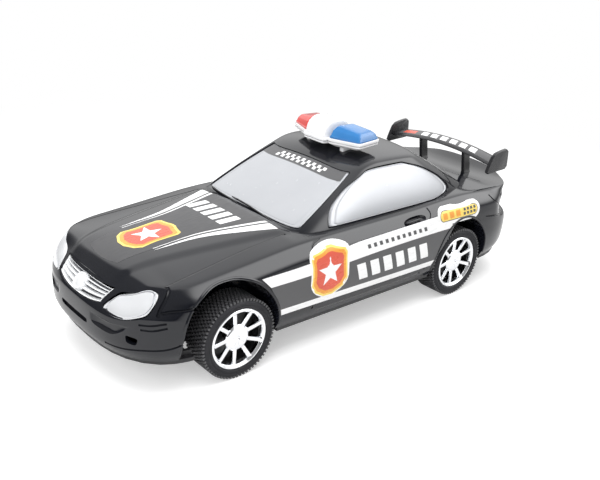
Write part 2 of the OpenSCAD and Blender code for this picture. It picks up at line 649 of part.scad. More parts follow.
module chassis() {
    color([0.08, 0.08, 0.09])
    difference() {
        union() {
            translate([0, 0, floor_z]) linear_extrude(floor_t) polygon(plan_outline(floor_in, 10));
            translate([0, 0, sill_z]) linear_extrude(floor_lip_h)
                difference() {
                    polygon(plan_outline(floor_in + wall + lip_clear, 10));
                    polygon(plan_outline(floor_in + wall + lip_clear + floor_t, 10));
                }
            for (x = [front_axle_x, rear_axle_x], side = [-1, 1])
                translate([x - lug_w / 2, side * lug_y - lug_t / 2, sill_z])
                    cube([lug_w, lug_t, axle_z + axle_r + 2.5 - sill_z]);
            for (x = post_x, side = [-1, 1])
                translate([x, side * post_y, floor_z]) cylinder(r = post_r + 1, h = post_seat_z - floor_z);
        }
        for (x = [front_axle_x, rear_axle_x], side = [-1, 1])
            translate([x - tyre_r - notch_room, side > 0 ? notch_in : -body_w, floor_z - 1])
                cube([2 * (tyre_r + notch_room), body_w - notch_in, floor_t + floor_lip_h + 2]);
        for (x = [front_axle_x, rear_axle_x])
            translate([x, body_w, axle_z]) rotate([90, 0, 0]) cylinder(r = axle_r + run_fit, h = 2 * body_w);
        for (x = post_x, side = [-1, 1]) {
            translate([x, side * post_y, floor_z - 1]) cylinder(r = screw_r, h = 20);
            translate([x, side * post_y, floor_z - 1])
                cylinder(r = screw_head_r + seat_fit, h = post_seat_z - 2 - floor_z + 1);
        }
        translate([ear_x[1] - seat_fit, box_y[0] - gearbox_wall - seat_fit, floor_z - 1])
            cube([ear_x[0] - ear_x[1] + 2 * seat_fit,
                box_y[1] - box_y[0] + 2 * (gearbox_wall + seat_fit), floor_t + 2]);
        rod(rear_axle_x, axle_z, sleeve_end + seat_fit, 2 * (sleeve_end + seat_fit), sleeve_r + seat_fit);
        for (x = ear_x, y = ear_y)
            translate([ear_mid(x), y, floor_z - 1]) cylinder(r = pilot_r + press_fit, h = floor_t + 2);
    }
}
function ear_mid(x) = x + (x > rear_axle_x ? 1 : -1) * ear_l / 2;

module chassis_screws() {
    color([0.6, 0.6, 0.62])
    for (x = post_x, side = [-1, 1])
        screw(x, side * post_y, post_seat_z - 2 - screw_head_h, screw_bite);
}

// Wheel parts are turned about +Z, with Z measured outwards from the middle of the car
module on_axle(x, side) {
    translate([x, 0, axle_z]) rotate([-90 * side, 0, 0]) children();
}

tyre_proud = 0.5;
tyre_out = wheel_face + tyre_proud;
tyre_in = tyre_out - tyre_w;
shoulder_w = 1.7;
shoulder_drop = [0.3, 1.4];
bead_bevel = [0.9, 0.8];
rim_r = rim_d / 2;
tread_r = tyre_r - tread_h;
row_w = (tyre_w - 2 * shoulder_w) / tread_rows;
row_gap = 0.9;
module tyre() {
    color([0.09, 0.09, 0.1])
    union() {
        rotate_extrude()
            polygon([
                [rim_r, tyre_in + bead_bevel[1]], [rim_r + bead_bevel[0], tyre_in],
                [tread_r - shoulder_drop[1], tyre_in], [tread_r - shoulder_drop[0], tyre_in + bead_bevel[1]],
                [tread_r, tyre_in + shoulder_w], [tread_r, tyre_out - shoulder_w],
                [tread_r - shoulder_drop[0], tyre_out - bead_bevel[1]], [tread_r - shoulder_drop[1], tyre_out],
                [rim_r + bead_bevel[0], tyre_out], [rim_r, tyre_out - bead_bevel[1]]
            ]);
        for (row = [0:tread_rows - 1])
            translate([0, 0, tyre_in + shoulder_w + row * row_w + row_gap / 2])
                rotate([0, 0, row % 2 * 180 / tread_count])
                    linear_extrude(row_w - row_gap) difference() {
                        polygon(tread_outline());
                        circle(tread_r - 0.6);
                    }
    }
}
// Outline of one row of tread blocks: a block and a gap in turn
function tread_outline() = [for (i = [0:tread_count - 1]) let (a = 360 / tread_count)
    for (c = [[tread_r - 0.2, 0], [tyre_r, 0.06], [tyre_r, 0.58], [tread_r - 0.2, 0.64]])
        c[0] * [cos((i + c[1]) * a), sin((i + c[1]) * a)]];

hub_r = axle_r + 2.5;
rim_t = 1.5;
web_t = 2;
rim_in = tyre_in + bead_bevel[1];
cap_back = wheel_face - 2.5;
hub_front = wheel_face - 4.5;
module wheel() {
    color([0.05, 0.05, 0.05])
    rotate_extrude() {
        translate([rim_r - rim_t, rim_in]) square([rim_t - press_fit, cap_back - rim_in]);
        translate([hub_r - 0.5, hub_front - 6]) square([rim_r - rim_t - hub_r + 1, web_t]);
        translate([axle_r + press_fit, rim_in - 1])
            square([hub_r - axle_r - press_fit, hub_front - rim_in + 1]);
    }
}

hub_disc_r = hub_disc_d / 2;
slot_in = hub_disc_r + 0.4;
slot_out = rim_r - 2.2;
module hubcap() {
    color([0.86, 0.87, 0.88])
    difference() {
        rotate_extrude()
            polygon([
                [0, hub_front], [hub_r, hub_front], [slot_in + 0.4, hub_front + 1], [slot_out, cap_back],
                [rim_r - press_fit, cap_back], [rim_r - press_fit, wheel_face - 0.5],
                [rim_r - 0.5, wheel_face], [rim_r - 1.3, wheel_face], [slot_out + 0.1, wheel_face - 0.9],
                [hub_disc_r, wheel_face - 2.1], [hub_disc_r - 0.6, wheel_face - 1.6], [1.2, wheel_face - 1.5],
                [0.9, wheel_face - 2], [0, wheel_face - 2]
            ]);
        for (i = [0:spoke_count - 1])
            rotate([0, 0, (i + 0.5) * 360 / spoke_count])
                translate([0, 0, hub_front - 1]) linear_extrude(wheel_face) polygon(slot_outline());
    }
}
function slot_half(r) = 180 / spoke_count - asin(spoke_w / 2 / r);
function slot_outline() = concat(
    [for (s = [-1:0.5:1]) slot_out * [cos(s * slot_half(slot_out)), sin(s * slot_half(slot_out))]],
    [for (s = [1, -1]) slot_in * [cos(s * slot_half(slot_in)), sin(s * slot_half(slot_in))]]);

axle_end = hub_front - 1;
module axle(x) {
    color([0.7, 0.7, 0.72])
    translate([x, axle_end, axle_z]) rotate([90, 0, 0]) cylinder(r = axle_r, h = 2 * axle_end);
}

// Involute gear with stub teeth, one tooth centred on +X
pressure = 25;
function involute(r, base) = let (a = acos(min(1, base / r))) tan(a) * 180 / PI - a;
function gear_outline(teeth) = let (
    pitch = gear_m * teeth / 2, base = pitch * cos(pressure), tip = pitch + 0.8 * gear_m,
    root = pitch - 1.1 * gear_m, low = max(base, root), steps = 4,
    half = 90 / teeth - backlash / 4 / pitch * 180 / PI + involute(pitch, base),
    flank = [for (i = [0:steps]) let (r = mix(low, tip, i / steps)) [r, half - involute(r, base)]],
    right = concat([[root, flank[0][1]]], flank))
    [for (i = [0:teeth - 1]) let (c = i * 360 / teeth) each concat(
        [for (p = right) p[0] * [cos(c - p[1]), sin(c - p[1])]],
        [for (k = [len(right) - 1:-1:0]) let (p = right[k]) p[0] * [cos(c + p[1]), sin(c + p[1])]])];

// Gear blank of thickness t whose left face is at y, turned by turn degrees
module gear(x, z, y, t, teeth, turn, bore) {
    translate([x, y, z]) rotate([90, 0, 0]) linear_extrude(t)
        difference() {
            rotate(turn) polygon(gear_outline(teeth));
            circle(bore);
        }
}
module rod(x, z, y, length, r) {
    translate([x, y, z]) rotate([90, 0, 0]) cylinder(r = r, h = length);
}

module drive_gear() {
    color([0.9, 0.88, 0.8])
    difference() {
        union() {
            gear(rear_axle_x, axle_z, drive_y, gear_t, wheel_teeth, idler_rise, axle_r + press_fit);
            rod(rear_axle_x, axle_z, drive_y - gear_t, 1.4, axle_r + 2);
        }
        rod(rear_axle_x, axle_z, drive_y + 1, gear_t + 4, axle_r + press_fit);
    }
}

module idler_gear() {
    color([0.9, 0.88, 0.8])
    difference() {
        union() {
            gear(idler_x, idler_z, idler_y, gear_t + 1, pinion_teeth, idler_rise + 180 + 180 / pinion_teeth,
                shaft_r + run_fit);
            gear(idler_x, idler_z, idler_y + gear_t - 0.5, gear_t - 0.5, wheel_teeth, -idler_rise,
                shaft_r + run_fit);
        }
        rod(idler_x, idler_z, idler_y + gear_t + 1, 3 * gear_t, shaft_r + run_fit);
    }
}

module idler_shaft() {
    color([0.7, 0.7, 0.72])
    rod(idler_x, idler_z, shaft_end, shaft_l, shaft_r);
}

pinion_t = gear_t + 0.5;
module flywheel_pinion() {
    color([0.75, 0.62, 0.3])
    gear(flywheel_x, flywheel_z, idler_y + gear_t, pinion_t, pinion_teeth,
        180 - idler_rise + 180 / pinion_teeth, shaft_r + press_fit);
}

rim_band = 4;
module flywheel() {
    color([0.65, 0.65, 0.67])
    translate([flywheel_x, flywheel_y, flywheel_z]) rotate([-90, 0, 0])
        rotate_extrude() polygon([
            [shaft_r + press_fit, 0], [flywheel_d / 2, 0], [flywheel_d / 2, flywheel_t],
            [flywheel_d / 2 - rim_band, flywheel_t], [flywheel_d / 2 - rim_band, flywheel_t - 2],
            [shaft_r + 2, flywheel_t - 2], [shaft_r + 2, flywheel_t], [shaft_r + press_fit, flywheel_t]
        ]);
}

module flywheel_shaft() {
    color([0.7, 0.7, 0.72])
    rod(flywheel_x, flywheel_z, shaft_end, shaft_l, shaft_r);
}

// Side outline of the gearbox, grown by a wall
module box_outline(grow) {
    hull() {
        translate([rear_axle_x, axle_z]) circle(gear_room + grow, $fn = 32);
        translate([idler_x, idler_z]) circle(gear_room + grow, $fn = 32);
        translate([flywheel_x, flywheel_z]) circle(fly_room + grow, $fn = 32);
    }
}
module across(y0, y1) {
    translate([0, y1, 0]) rotate([90, 0, 0]) linear_extrude(y1 - y0) children();
}

// One half of the gearbox, between the split and the outer face
module gearbox_half(side) {
    inner = side > 0 ? [box_split, box_y[1]] : [box_y[0], box_split];
    outer = side > 0 ? [box_split, box_y[1] + gearbox_wall] : [box_y[0] - gearbox_wall, box_split];
    end = side * sleeve_end;
    ear = side > 0 ? ear_y[0] : ear_y[1];
    color([0.2, 0.2, 0.22])
    difference() {
        union() {
            difference() {
                across(outer[0], outer[1]) box_outline(gearbox_wall);
                across(inner[0] - (side > 0 ? 1 : 0), inner[1] + (side > 0 ? 0 : 1)) box_outline(0);
            }
            rod(rear_axle_x, axle_z, side > 0 ? end : box_y[0],
                side > 0 ? end - box_y[1] : box_y[0] - end, sleeve_r);
            for (x = ear_x)
                translate([x > rear_axle_x ? x - 3 : x - ear_l, ear - ear_w / 2, sill_z])
                    cube([ear_l + 3, ear_w, ear_t]);
        }
        across(inner[0] - (side > 0 ? 1 : 0), inner[1] + (side > 0 ? 0 : 1)) box_outline(0);
        rod(rear_axle_x, axle_z, lug_y, 2 * lug_y, axle_r + run_fit);
        rod(flywheel_x, flywheel_z, lug_y, 2 * lug_y, shaft_r + run_fit);
        rod(idler_x, idler_z, lug_y, 2 * lug_y, shaft_r + press_fit);
        for (x = ear_x)
            translate([ear_mid(x), ear, sill_z - 1]) cylinder(r = screw_r, h = ear_t + 2);
    }
}

module gearbox_screws() {
    color([0.6, 0.6, 0.62])
    for (x = ear_x, y = ear_y)
        translate([ear_mid(x), y, sill_z + ear_t + screw_head_h]) mirror([0, 0, 1])
            screw(0, 0, 0, ear_t + floor_t);
}

// Light bar: a swept tray on two feet, a lens to each side and a cover in the middle
cover_half = 9.5;
sweep = 7;
bar_taper = 3;
part_gap = 0.5;
function bar_wing(side, inset) = let (
    inner = cover_half + part_gap + inset, end = bar_half - inset, slope_x = sweep / (bar_half - cover_half))
    [[bar_x - 1.5 - inset, side * inner], [bar_x - 1.5 - inset - slope_x * (end - inner), side * end],
     [bar_x - bar_depth - sweep + inset * 2, side * (end - bar_taper)],
     [bar_x - bar_depth - 1 + inset, side * inner]];
module slab(points, z, h) {
    translate([0, 0, z]) linear_extrude(h) polygon(points);
}
module lens(side) {
    hull() {
        slab(bar_wing(side, 0.8), bar_z + tray_h, 1.5);
        slab(bar_wing(side, 1.2), bar_z + tray_h, lens_h * 0.6);
        slab(bar_wing(side, 3), bar_z + tray_h, lens_h);
    }
}
module red_lens() {
    color([0.9, 0.15, 0.12]) lens(-1);
}
module blue_lens() {
    color([0.15, 0.35, 0.9]) lens(1);
}
function cover_outline(inset) = [for (c = [[0, -1], [0, 1], [1, 1], [1, -1]])
    [bar_x - inset - c[0] * (bar_depth - 2 * inset), c[1] * (cover_half - inset)]];
module lightbar_cover() {
    color([0.9, 0.9, 0.9])
    hull() {
        slab(cover_outline(0), bar_z + tray_h, cover_h * 0.5);
        slab(cover_outline(0.8), bar_z + tray_h, cover_h * 0.85);
        slab(cover_outline(2), bar_z + tray_h, cover_h);
    }
}
module lightbar_tray() {
    color([0.88, 0.88, 0.89])
    union() {
        for (side = [-1, 1])
            hull() {
                slab(bar_wing(side, 2), bar_z, tray_h);
                slab(bar_wing(side, 0), bar_z + 2, tray_h - 2);
            }
        hull() {
            slab(cover_outline(1.5), bar_z, tray_h);
            slab(cover_outline(-part_gap - 0.5), bar_z + 2, tray_h - 2);
        }
        for (side = [-1, 1])
            slot(bar_foot, side * bar_foot_y, [roof_z - bar_hold, bar_z + 1], bar_foot_t, 0);
    }
}

// Wing blade: a thin aerofoil whose ends droop, between two end plates
blade_ribs = 16;
blade_steps = 6;
rib_t = 0.6;
function droop(y) = wing_crown * pow(y / wing_half, 2);
function blade_z(x, y) = wing_z + (wing_x - x) / wing_chord * wing_rise - droop(y);
function blade_y(i) = mix(-wing_half, wing_half, i / blade_ribs);
function rib_point(c, y, side) = let (x = wing_x - c * wing_chord)
    [x, blade_z(x, y) + side * wing_t / 2 * (0.12 + 0.88 * sin(180 * pow(c, 0.7)))];
function rib(y) = concat(
    [for (j = [0:blade_steps]) rib_point(j / blade_steps, y, 1)],
    [for (j = [blade_steps:-1:0]) rib_point(j / blade_steps, y, -1)]);
function end_plate() = [
    [wing_x - 0.5, wing_z + 3.7], [wing_x - 13.2, wing_z + 5.6], [wing_x - 14.7, wing_z - 4.3],
    [wing_x - 2, wing_z - 6.8], [wing_x + 4.7, wing_z - 7.6], [wing_x + 4, wing_z - 5.6]];
module rear_wing() {
    color([0.06, 0.06, 0.07])
    union() {
        for (i = [0:blade_ribs - 1])
            hull() {
                across(blade_y(i), blade_y(i) + rib_t) polygon(rib(blade_y(i)));
                across(blade_y(i + 1), blade_y(i + 1) + rib_t) polygon(rib(blade_y(i + 1)));
            }
        for (side = [-1, 1])
            across(side * wing_half - wing_plate_t / 2, side * wing_half + wing_plate_t / 2)
                polygon(end_plate());
    }
}
function under_blade(x) = blade_z(x, wing_post_y + wing_plate_t / 2) - wing_t * 0.5 - seat_fit;
module wing_post(side) {
    foot_z = deck_z((post_foot[0] + post_foot[1]) / 2, wing_post_y, body_half) - wall - post_hold;
    knee_z = foot_z + wall + post_hold;
    color([0.06, 0.06, 0.07])
    across(side * wing_post_y - wing_plate_t / 2, side * wing_post_y + wing_plate_t / 2)
        polygon([
            [post_foot[0], foot_z], [post_foot[1], foot_z], [post_foot[1], knee_z],
            [post_head[1], under_blade(post_head[1])], [post_head[0], under_blade(post_head[0])],
            [post_foot[0], knee_z]
        ]);
}

body_shell();
chassis();
windscreen();
rear_window();
side_window(1);  // left_window
side_window(-1);  // right_window
grille();
headlight(1);  // left_headlight
headlight(-1);  // right_headlight
lightbar_tray();
lightbar_cover();
red_lens();
blue_lens();
rear_wing();
wing_post(1);  // left_wing_post
wing_post(-1);  // right_wing_post
axle(front_axle_x);  // front_axle
axle(rear_axle_x);  // rear_axle
on_axle(front_axle_x, 1) wheel();  // front_left_wheel
on_axle(front_axle_x, 1) tyre();  // front_left_tyre
on_axle(front_axle_x, 1) hubcap();  // front_left_hubcap
on_axle(front_axle_x, -1) wheel();  // front_right_wheel
on_axle(front_axle_x, -1) tyre();  // front_right_tyre
on_axle(front_axle_x, -1) hubcap();  // front_right_hubcap
on_axle(rear_axle_x, 1) wheel();  // rear_left_wheel
on_axle(rear_axle_x, 1) tyre();  // rear_left_tyre
on_axle(rear_axle_x, 1) hubcap();  // rear_left_hubcap
on_axle(rear_axle_x, -1) wheel();  // rear_right_wheel
on_axle(rear_axle_x, -1) tyre();  // rear_right_tyre
on_axle(rear_axle_x, -1) hubcap();  // rear_right_hubcap
drive_gear();
idler_gear();
idler_shaft();
flywheel();
flywheel_pinion();
flywheel_shaft();
gearbox_half(1);  // gearbox_left
gearbox_half(-1);  // gearbox_right
gearbox_screws();
chassis_screws();
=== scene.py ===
# %% [markdown]
# # A toy police coupe, dressed around its CAD frame
# The CAD model gives the car its real sizes, its joints and its inner pieces. This lesson adds what the eye
# looks for: a dense glossy shell with shut lines, plated trim, printed labels, treaded tyres and coloured
# lamps. Everything is in the CAD frame, so a new piece goes exactly where its solid is.

# %% Load the frame
import bmesh
import bpy
import numpy as np
from mathutils import Matrix


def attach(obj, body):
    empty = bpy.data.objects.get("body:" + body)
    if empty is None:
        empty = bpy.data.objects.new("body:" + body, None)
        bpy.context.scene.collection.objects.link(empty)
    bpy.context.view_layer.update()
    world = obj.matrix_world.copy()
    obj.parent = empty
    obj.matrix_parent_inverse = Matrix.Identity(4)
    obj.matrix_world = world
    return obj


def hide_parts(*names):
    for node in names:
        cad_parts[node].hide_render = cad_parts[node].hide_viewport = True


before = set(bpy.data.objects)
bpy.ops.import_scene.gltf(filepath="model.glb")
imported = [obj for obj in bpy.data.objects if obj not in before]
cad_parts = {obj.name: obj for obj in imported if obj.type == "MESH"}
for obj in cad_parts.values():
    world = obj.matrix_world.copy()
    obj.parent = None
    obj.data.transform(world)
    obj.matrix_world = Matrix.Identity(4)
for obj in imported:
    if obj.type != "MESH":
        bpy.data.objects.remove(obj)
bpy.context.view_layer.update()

scene = bpy.context.scene
MM = 0.001

# %% [markdown]
# ## Camera
# The camera was fitted to the four wheels, which are circles of known places. It could be aimed with a
# Track To constraint, but a leaning camera is plainer as a matrix, written from three angles: where it
# stands around the car, how steeply it looks down, and how far it leans.

# %% Camera
CAMERA_AT = np.array([279.03, 315.41, 211.73])
AZIMUTH, ELEVATION, LEAN = np.radians([138.691, 22.957, 3.373])
FOCAL_PX, PHOTO_W, SENSOR = 785.17, 600, 36.0

flat = np.cos(ELEVATION)
back = np.array([np.sin(AZIMUTH) * flat, -np.cos(AZIMUTH) * flat, np.sin(ELEVATION)])
level = np.cross([0, 0, 1], back)
level /= np.linalg.norm(level)
rise = np.cross(back, level)
right = np.cos(LEAN) * level + np.sin(LEAN) * rise
up = -np.sin(LEAN) * level + np.cos(LEAN) * rise


def stand(x_axis, y_axis, z_axis, at):
    """Matrix of an object: its three axes and its place, given in millimetres, are the matrix's columns."""
    columns = np.column_stack([x_axis, y_axis, z_axis, np.array(at) * MM])
    return Matrix(np.vstack([columns, [0, 0, 0, 1]]).tolist())


camera = bpy.data.objects.new("camera", bpy.data.cameras.new("camera"))
camera.data.sensor_width = SENSOR
camera.data.lens = FOCAL_PX * SENSOR / PHOTO_W
camera.data.clip_start = 0.01
camera.matrix_world = stand(right, up, back, CAMERA_AT)
scene.collection.objects.link(camera)
scene.camera = camera
print("lens", round(camera.data.lens, 2), "mm")

# %% [markdown]
# ## Grids that close into solids
# A moulding's surface could be pushed and pulled by hand, but here each is a grid of points worked out as
# one array. What Blender still needs is the corner numbers of the faces, and those follow from the grid's
# size. A loft closes rings of points into a solid, and a plate closes the space between two sheets.

# %% Grids, lofts and plates
def cells(rows, cols, wrap_rows=False, wrap_cols=False):
    """Corner numbers of each cell of a grid: row i, column j joins (i, j), (i, j+1), (i+1, j+1), (i+1, j)."""
    i, j = np.meshgrid(np.arange(rows if wrap_rows else rows - 1), np.arange(cols if wrap_cols else cols - 1),
                       indexing="ij")
    below, beside = (i + 1) % rows, (j + 1) % cols
    corners = [i * cols + j, i * cols + beside, below * cols + beside, below * cols + j]
    return np.stack(corners, -1).reshape(-1, 4)


def loft(rings, caps=True):
    """Solid through closed rings of points: neighbours are joined, and the two ends get one face each."""
    rings = np.asarray(rings, float)
    n, m = rings.shape[:2]
    faces = cells(n, m, wrap_cols=True).tolist()
    if caps:
        faces += [list(range(m))[::-1], [(n - 1) * m + k for k in range(m)]]
    return rings.reshape(-1, 3), faces


def plate(front, behind):
    """Solid between two grids of the same size, closed round the edge."""
    rows, cols = front.shape[:2]
    number = np.arange(rows * cols).reshape(rows, cols)
    edge = np.concatenate([number[0], number[1:, -1], number[-1, -2::-1], number[-2:0:-1, 0]])
    turned = np.roll(edge, -1)
    count = rows * cols
    sides = np.stack([edge, turned, turned + count, edge + count], -1)
    faces = np.concatenate([cells(rows, cols), cells(rows, cols)[:, ::-1] + count, sides])
    return np.concatenate([front.reshape(-1, 3), behind.reshape(-1, 3)]), faces.tolist()


print("a grid of 3 by 4 points has", len(cells(3, 4)), "cells")

# %% [markdown]
# ## Several parts as one
# The car has a left and a right of nearly everything. The Mirror modifier could make the second, but a
# mirrored list of points is one sign change, and parts that are joined first become one mesh in one go.

# %% Joining and mirroring
def together(*parts):
    """One list of points and faces from several."""
    points, faces, start = [], [], 0
    for p, f in parts:
        points.append(np.asarray(p))
        faces += [[c + start for c in face] for face in f]
        start += len(p)
    return np.concatenate(points), faces


def mirrored(part):
    """The same part on the other side of the car: y becomes minus y."""
    return part[0] * [1, -1, 1], [face[::-1] for face in part[1]]


def both_sides(*parts):
    """The parts and their mirror images as one."""
    return together(*parts, *(mirrored(p) for p in parts))


square = plate(np.zeros((2, 2, 3)), np.ones((2, 2, 3)))
print("one plate", len(square[0]), "points, with its mirror image", len(both_sides(square)[0]))

# %% [markdown]
# ## From points to objects, and cutting
# A mould maker starts from a full block and cuts it. The Boolean modifier does the same: each cut is worked
# out at once and kept as a plain mesh, so that no modifier is left for the export. The Manifold solver is
# the quick one for closed solids, and its tools must not overlap each other.

# %% Objects and cuts
WELD = 0.001


def solid(name, part):
    """Object from points in millimetres, with doubled points merged and all faces turned outwards."""
    mesh = bpy.data.meshes.new(name)
    mesh.from_pydata((part[0] * MM).tolist(), [], part[1])
    work = bmesh.new()
    work.from_mesh(mesh)
    bmesh.ops.remove_doubles(work, verts=work.verts, dist=WELD * MM)
    bmesh.ops.dissolve_degenerate(work, edges=work.edges, dist=WELD * MM)
    bmesh.ops.recalc_face_normals(work, faces=work.faces)
    work.to_mesh(mesh)
    work.free()
    piece = bpy.data.objects.new(name, mesh)
    scene.collection.objects.link(piece)
    return piece


def combine(base, part, how):
    """Boolean of a piece with a part, which is used up: how is UNION, DIFFERENCE or INTERSECT."""
    tool = part if hasattr(part, "data") else solid("tool", part)
    step = base.modifiers.new("step", "BOOLEAN")
    step.operation, step.solver, step.object = how, "MANIFOLD", tool
    made = bpy.data.meshes.new_from_object(base.evaluated_get(bpy.context.evaluated_depsgraph_get()))
    base.modifiers.clear()
    old, base.data = base.data, made
    bpy.data.meshes.remove(old)
    bpy.data.objects.remove(tool)
    return base


print("points nearer than", WELD, "mm are merged")

# %% [markdown]
# ## Dressing a piece
# Every finished piece needs the same few things: a material, smooth shading that keeps its sharp edges, the
# body that carries it, and the CAD node that it stands for. One helper does them all and reports the piece.

# %% Dressing
def dress(piece, material, body, replaces=(), smooth=35.0):
    """Shades a piece, gives it its material, hangs it on the body that carries it, and hides the CAD parts it
    stands for.
    """
    piece.data.materials.clear()
    piece.data.materials.append(material)
    piece.data.shade_smooth()
    piece.data.set_sharp_from_angle(angle=np.radians(smooth))
    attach(piece, body)
    if replaces:
        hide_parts(*replaces)
    print(piece.name, len(piece.data.polygons), "faces")
    return piece


# %% [markdown]
# ## The grain that all finishes share
# A moulded toy is never one flat colour: the steel mould leaves a fine grain, handling leaves faint scuffs,
# and the pigment varies a little. Each material could hold its own noise, but one node group made once and
# placed in each keeps them alike, with its own strength in each.

# %% The grain group
def grain_group():
    """Node group: colour with a slow variation, roughness with scuffs, and a height for the fine grain."""
    group = bpy.data.node_groups.new("moulding_grain", "ShaderNodeTree")
    face = group.interface
    for name, kind, value in (("Color", "NodeSocketColor", (0.5, 0.5, 0.5, 1)),
                              ("Shade", "NodeSocketColor", (0, 0, 0, 1)),
                              ("Rough Low", "NodeSocketFloat", 0.2), ("Rough High", "NodeSocketFloat", 0.3),
                              ("Scale", "NodeSocketFloat", 900.0)):
        face.new_socket(name, in_out="INPUT", socket_type=kind).default_value = value
    for name, kind in (("Color", "NodeSocketColor"), ("Roughness", "NodeSocketFloat"),
                       ("Height", "NodeSocketFloat")):
        face.new_socket(name, in_out="OUTPUT", socket_type=kind)
    nodes, link = group.nodes, group.links.new
    enter, leave = nodes.new("NodeGroupInput"), nodes.new("NodeGroupOutput")
    place = nodes.new("ShaderNodeTexCoord")
    slow, scuff, fine = (nodes.new("ShaderNodeTexNoise") for _ in range(3))
    stretch = nodes.new("ShaderNodeMapping")
    stretch.inputs["Scale"].default_value = (1.0, 6.0, 3.0)
    link(place.outputs["Object"], slow.inputs["Vector"])
    link(place.outputs["Object"], stretch.inputs["Vector"])
    link(stretch.outputs["Vector"], scuff.inputs["Vector"])
    link(place.outputs["Object"], fine.inputs["Vector"])
    slow.inputs["Scale"].default_value, slow.inputs["Detail"].default_value = 45.0, 3.0
    scuff.inputs["Scale"].default_value, scuff.inputs["Detail"].default_value = 160.0, 6.0
    link(enter.outputs["Scale"], fine.inputs["Scale"])
    tint = nodes.new("ShaderNodeMix")
    tint.data_type = "RGBA"
    narrow = nodes.new("ShaderNodeMapRange")
    narrow.inputs["From Min"].default_value, narrow.inputs["From Max"].default_value = 0.35, 0.7
    link(slow.outputs["Fac"], narrow.inputs["Value"])
    link(narrow.outputs["Result"], tint.inputs["Factor"])
    link(enter.outputs["Color"], tint.inputs[6])
    link(enter.outputs["Shade"], tint.inputs[7])
    rough = nodes.new("ShaderNodeMapRange")
    rough.inputs["From Min"].default_value, rough.inputs["From Max"].default_value = 0.35, 0.75
    link(scuff.outputs["Fac"], rough.inputs["Value"])
    link(enter.outputs["Rough Low"], rough.inputs["To Min"])
    link(enter.outputs["Rough High"], rough.inputs["To Max"])
    link(tint.outputs[2], leave.inputs["Color"])
    link(rough.outputs["Result"], leave.inputs["Roughness"])
    link(fine.outputs["Fac"], leave.inputs["Height"])
    return group


GRAIN = grain_group()
print("grain group with", len(GRAIN.nodes), "nodes")

# %% [markdown]
# ## A finish from the grain
# The shader itself stays in the material, where the export can read it. Only what changes over the surface
# is linked to it: colour, roughness and the bump. What is the same all over is set on the shader's socket.

# %% Finishes
def finish(name, color, shade, rough, grain=900.0, depth=0.004, **settings):
    """Material with the grain group: colour, shade, roughness range, and the grain's scale and depth."""
    material = bpy.data.materials.new(name)
    material.use_nodes = True
    nodes, link = material.node_tree.nodes, material.node_tree.links.new
    shader = nodes["Principled BSDF"]
    skin = nodes.new("ShaderNodeGroup")
    skin.node_tree = GRAIN
    skin.inputs["Color"].default_value, skin.inputs["Shade"].default_value = (*color, 1), (*shade, 1)
    skin.inputs["Rough Low"].default_value, skin.inputs["Rough High"].default_value = rough
    skin.inputs["Scale"].default_value = grain
    bump = nodes.new("ShaderNodeBump")
    bump.inputs["Distance"].default_value = depth * MM
    link(skin.outputs["Height"], bump.inputs["Height"])
    link(skin.outputs["Color"], shader.inputs["Base Color"])
    link(skin.outputs["Roughness"], shader.inputs["Roughness"])
    link(bump.outputs["Normal"], shader.inputs["Normal"])
    for socket, value in settings.items():
        shader.inputs[socket.replace("_", " ")].default_value = value
    return material


print("all finishes share the group", GRAIN.name)

# %% [markdown]
# ## Plastics
# The shell is glossy black, the wing and wipers are satin, and the floor is duller, as unpainted plastic
# is. The blacks aren't zero: a little colour is left, so that light still shapes the form.

# %% Plastics
black_gloss = finish("black_gloss", (0.0065, 0.0072, 0.0105), (0.0048, 0.0054, 0.008), (0.07, 0.13),
                     depth=0.0010)
black_satin = finish("black_satin", (0.016, 0.016, 0.018), (0.012, 0.012, 0.014), (0.26, 0.38), depth=0.004)
under_plastic = finish("under_plastic", (0.014, 0.014, 0.016), (0.010, 0.010, 0.011), (0.42, 0.58),
                       depth=0.012)
core_black = finish("core_black", (0.012, 0.012, 0.013), (0.008, 0.008, 0.009), (0.35, 0.5))
box_plastic = finish("box_plastic", (0.09, 0.09, 0.10), (0.07, 0.07, 0.08), (0.40, 0.55), depth=0.012)
gear_nylon = finish("gear_nylon", (0.78, 0.75, 0.66), (0.70, 0.67, 0.57), (0.35, 0.5), depth=0.008)
bar_white = finish("bar_white", (0.84, 0.84, 0.85), (0.78, 0.78, 0.79), (0.14, 0.24))
print(len(bpy.data.materials), "materials so far")

# %% [markdown]
# ## Plated, silvered and clear finishes
# Hubcaps are vacuum plated, so they are pure metal. The grille's plating is softer, and windows and lamps
# are only silvered, so they are mostly plastic with a part of metal. The coloured lenses let some light
# through.

# %% Plating, lenses and metals
plated = finish("plated", (0.88, 0.89, 0.91), (0.83, 0.84, 0.86), (0.05, 0.11), depth=0.001, Metallic=1.0)
plated_soft = finish("plated_soft", (0.88, 0.89, 0.90), (0.83, 0.84, 0.85), (0.16, 0.26), depth=0.001,
                     Metallic=0.35)
# painted shade: the grille's back is plated like its slats, but darker, for the shade in the gaps between
# them
plated_painted_shade = finish("plated_painted_shade", (0.20, 0.20, 0.22), (0.15, 0.15, 0.17), (0.22, 0.32), Metallic=1.0)
lamp_silver = finish("lamp_silver", (0.78, 0.79, 0.81), (0.73, 0.74, 0.76), (0.10, 0.17), depth=0.001,
                     Metallic=0.40)
window_silver = finish("window_silver", (0.40, 0.41, 0.43), (0.38, 0.39, 0.41), (0.20, 0.28), depth=0.0004,
                       Metallic=0.26)
red_lamp = finish("red_lamp", (0.78, 0.06, 0.05), (0.66, 0.04, 0.03), (0.06, 0.12), depth=0.001,
                  Coat_Weight=0.2, Transmission_Weight=0.2)
blue_lamp = finish("blue_lamp", (0.045, 0.235, 0.56), (0.034, 0.19, 0.50), (0.06, 0.12), depth=0.001,
                   Coat_Weight=0.2, Transmission_Weight=0.2)
steel = finish("steel", (0.55, 0.55, 0.57), (0.48, 0.48, 0.50), (0.22, 0.38), Metallic=1.0)
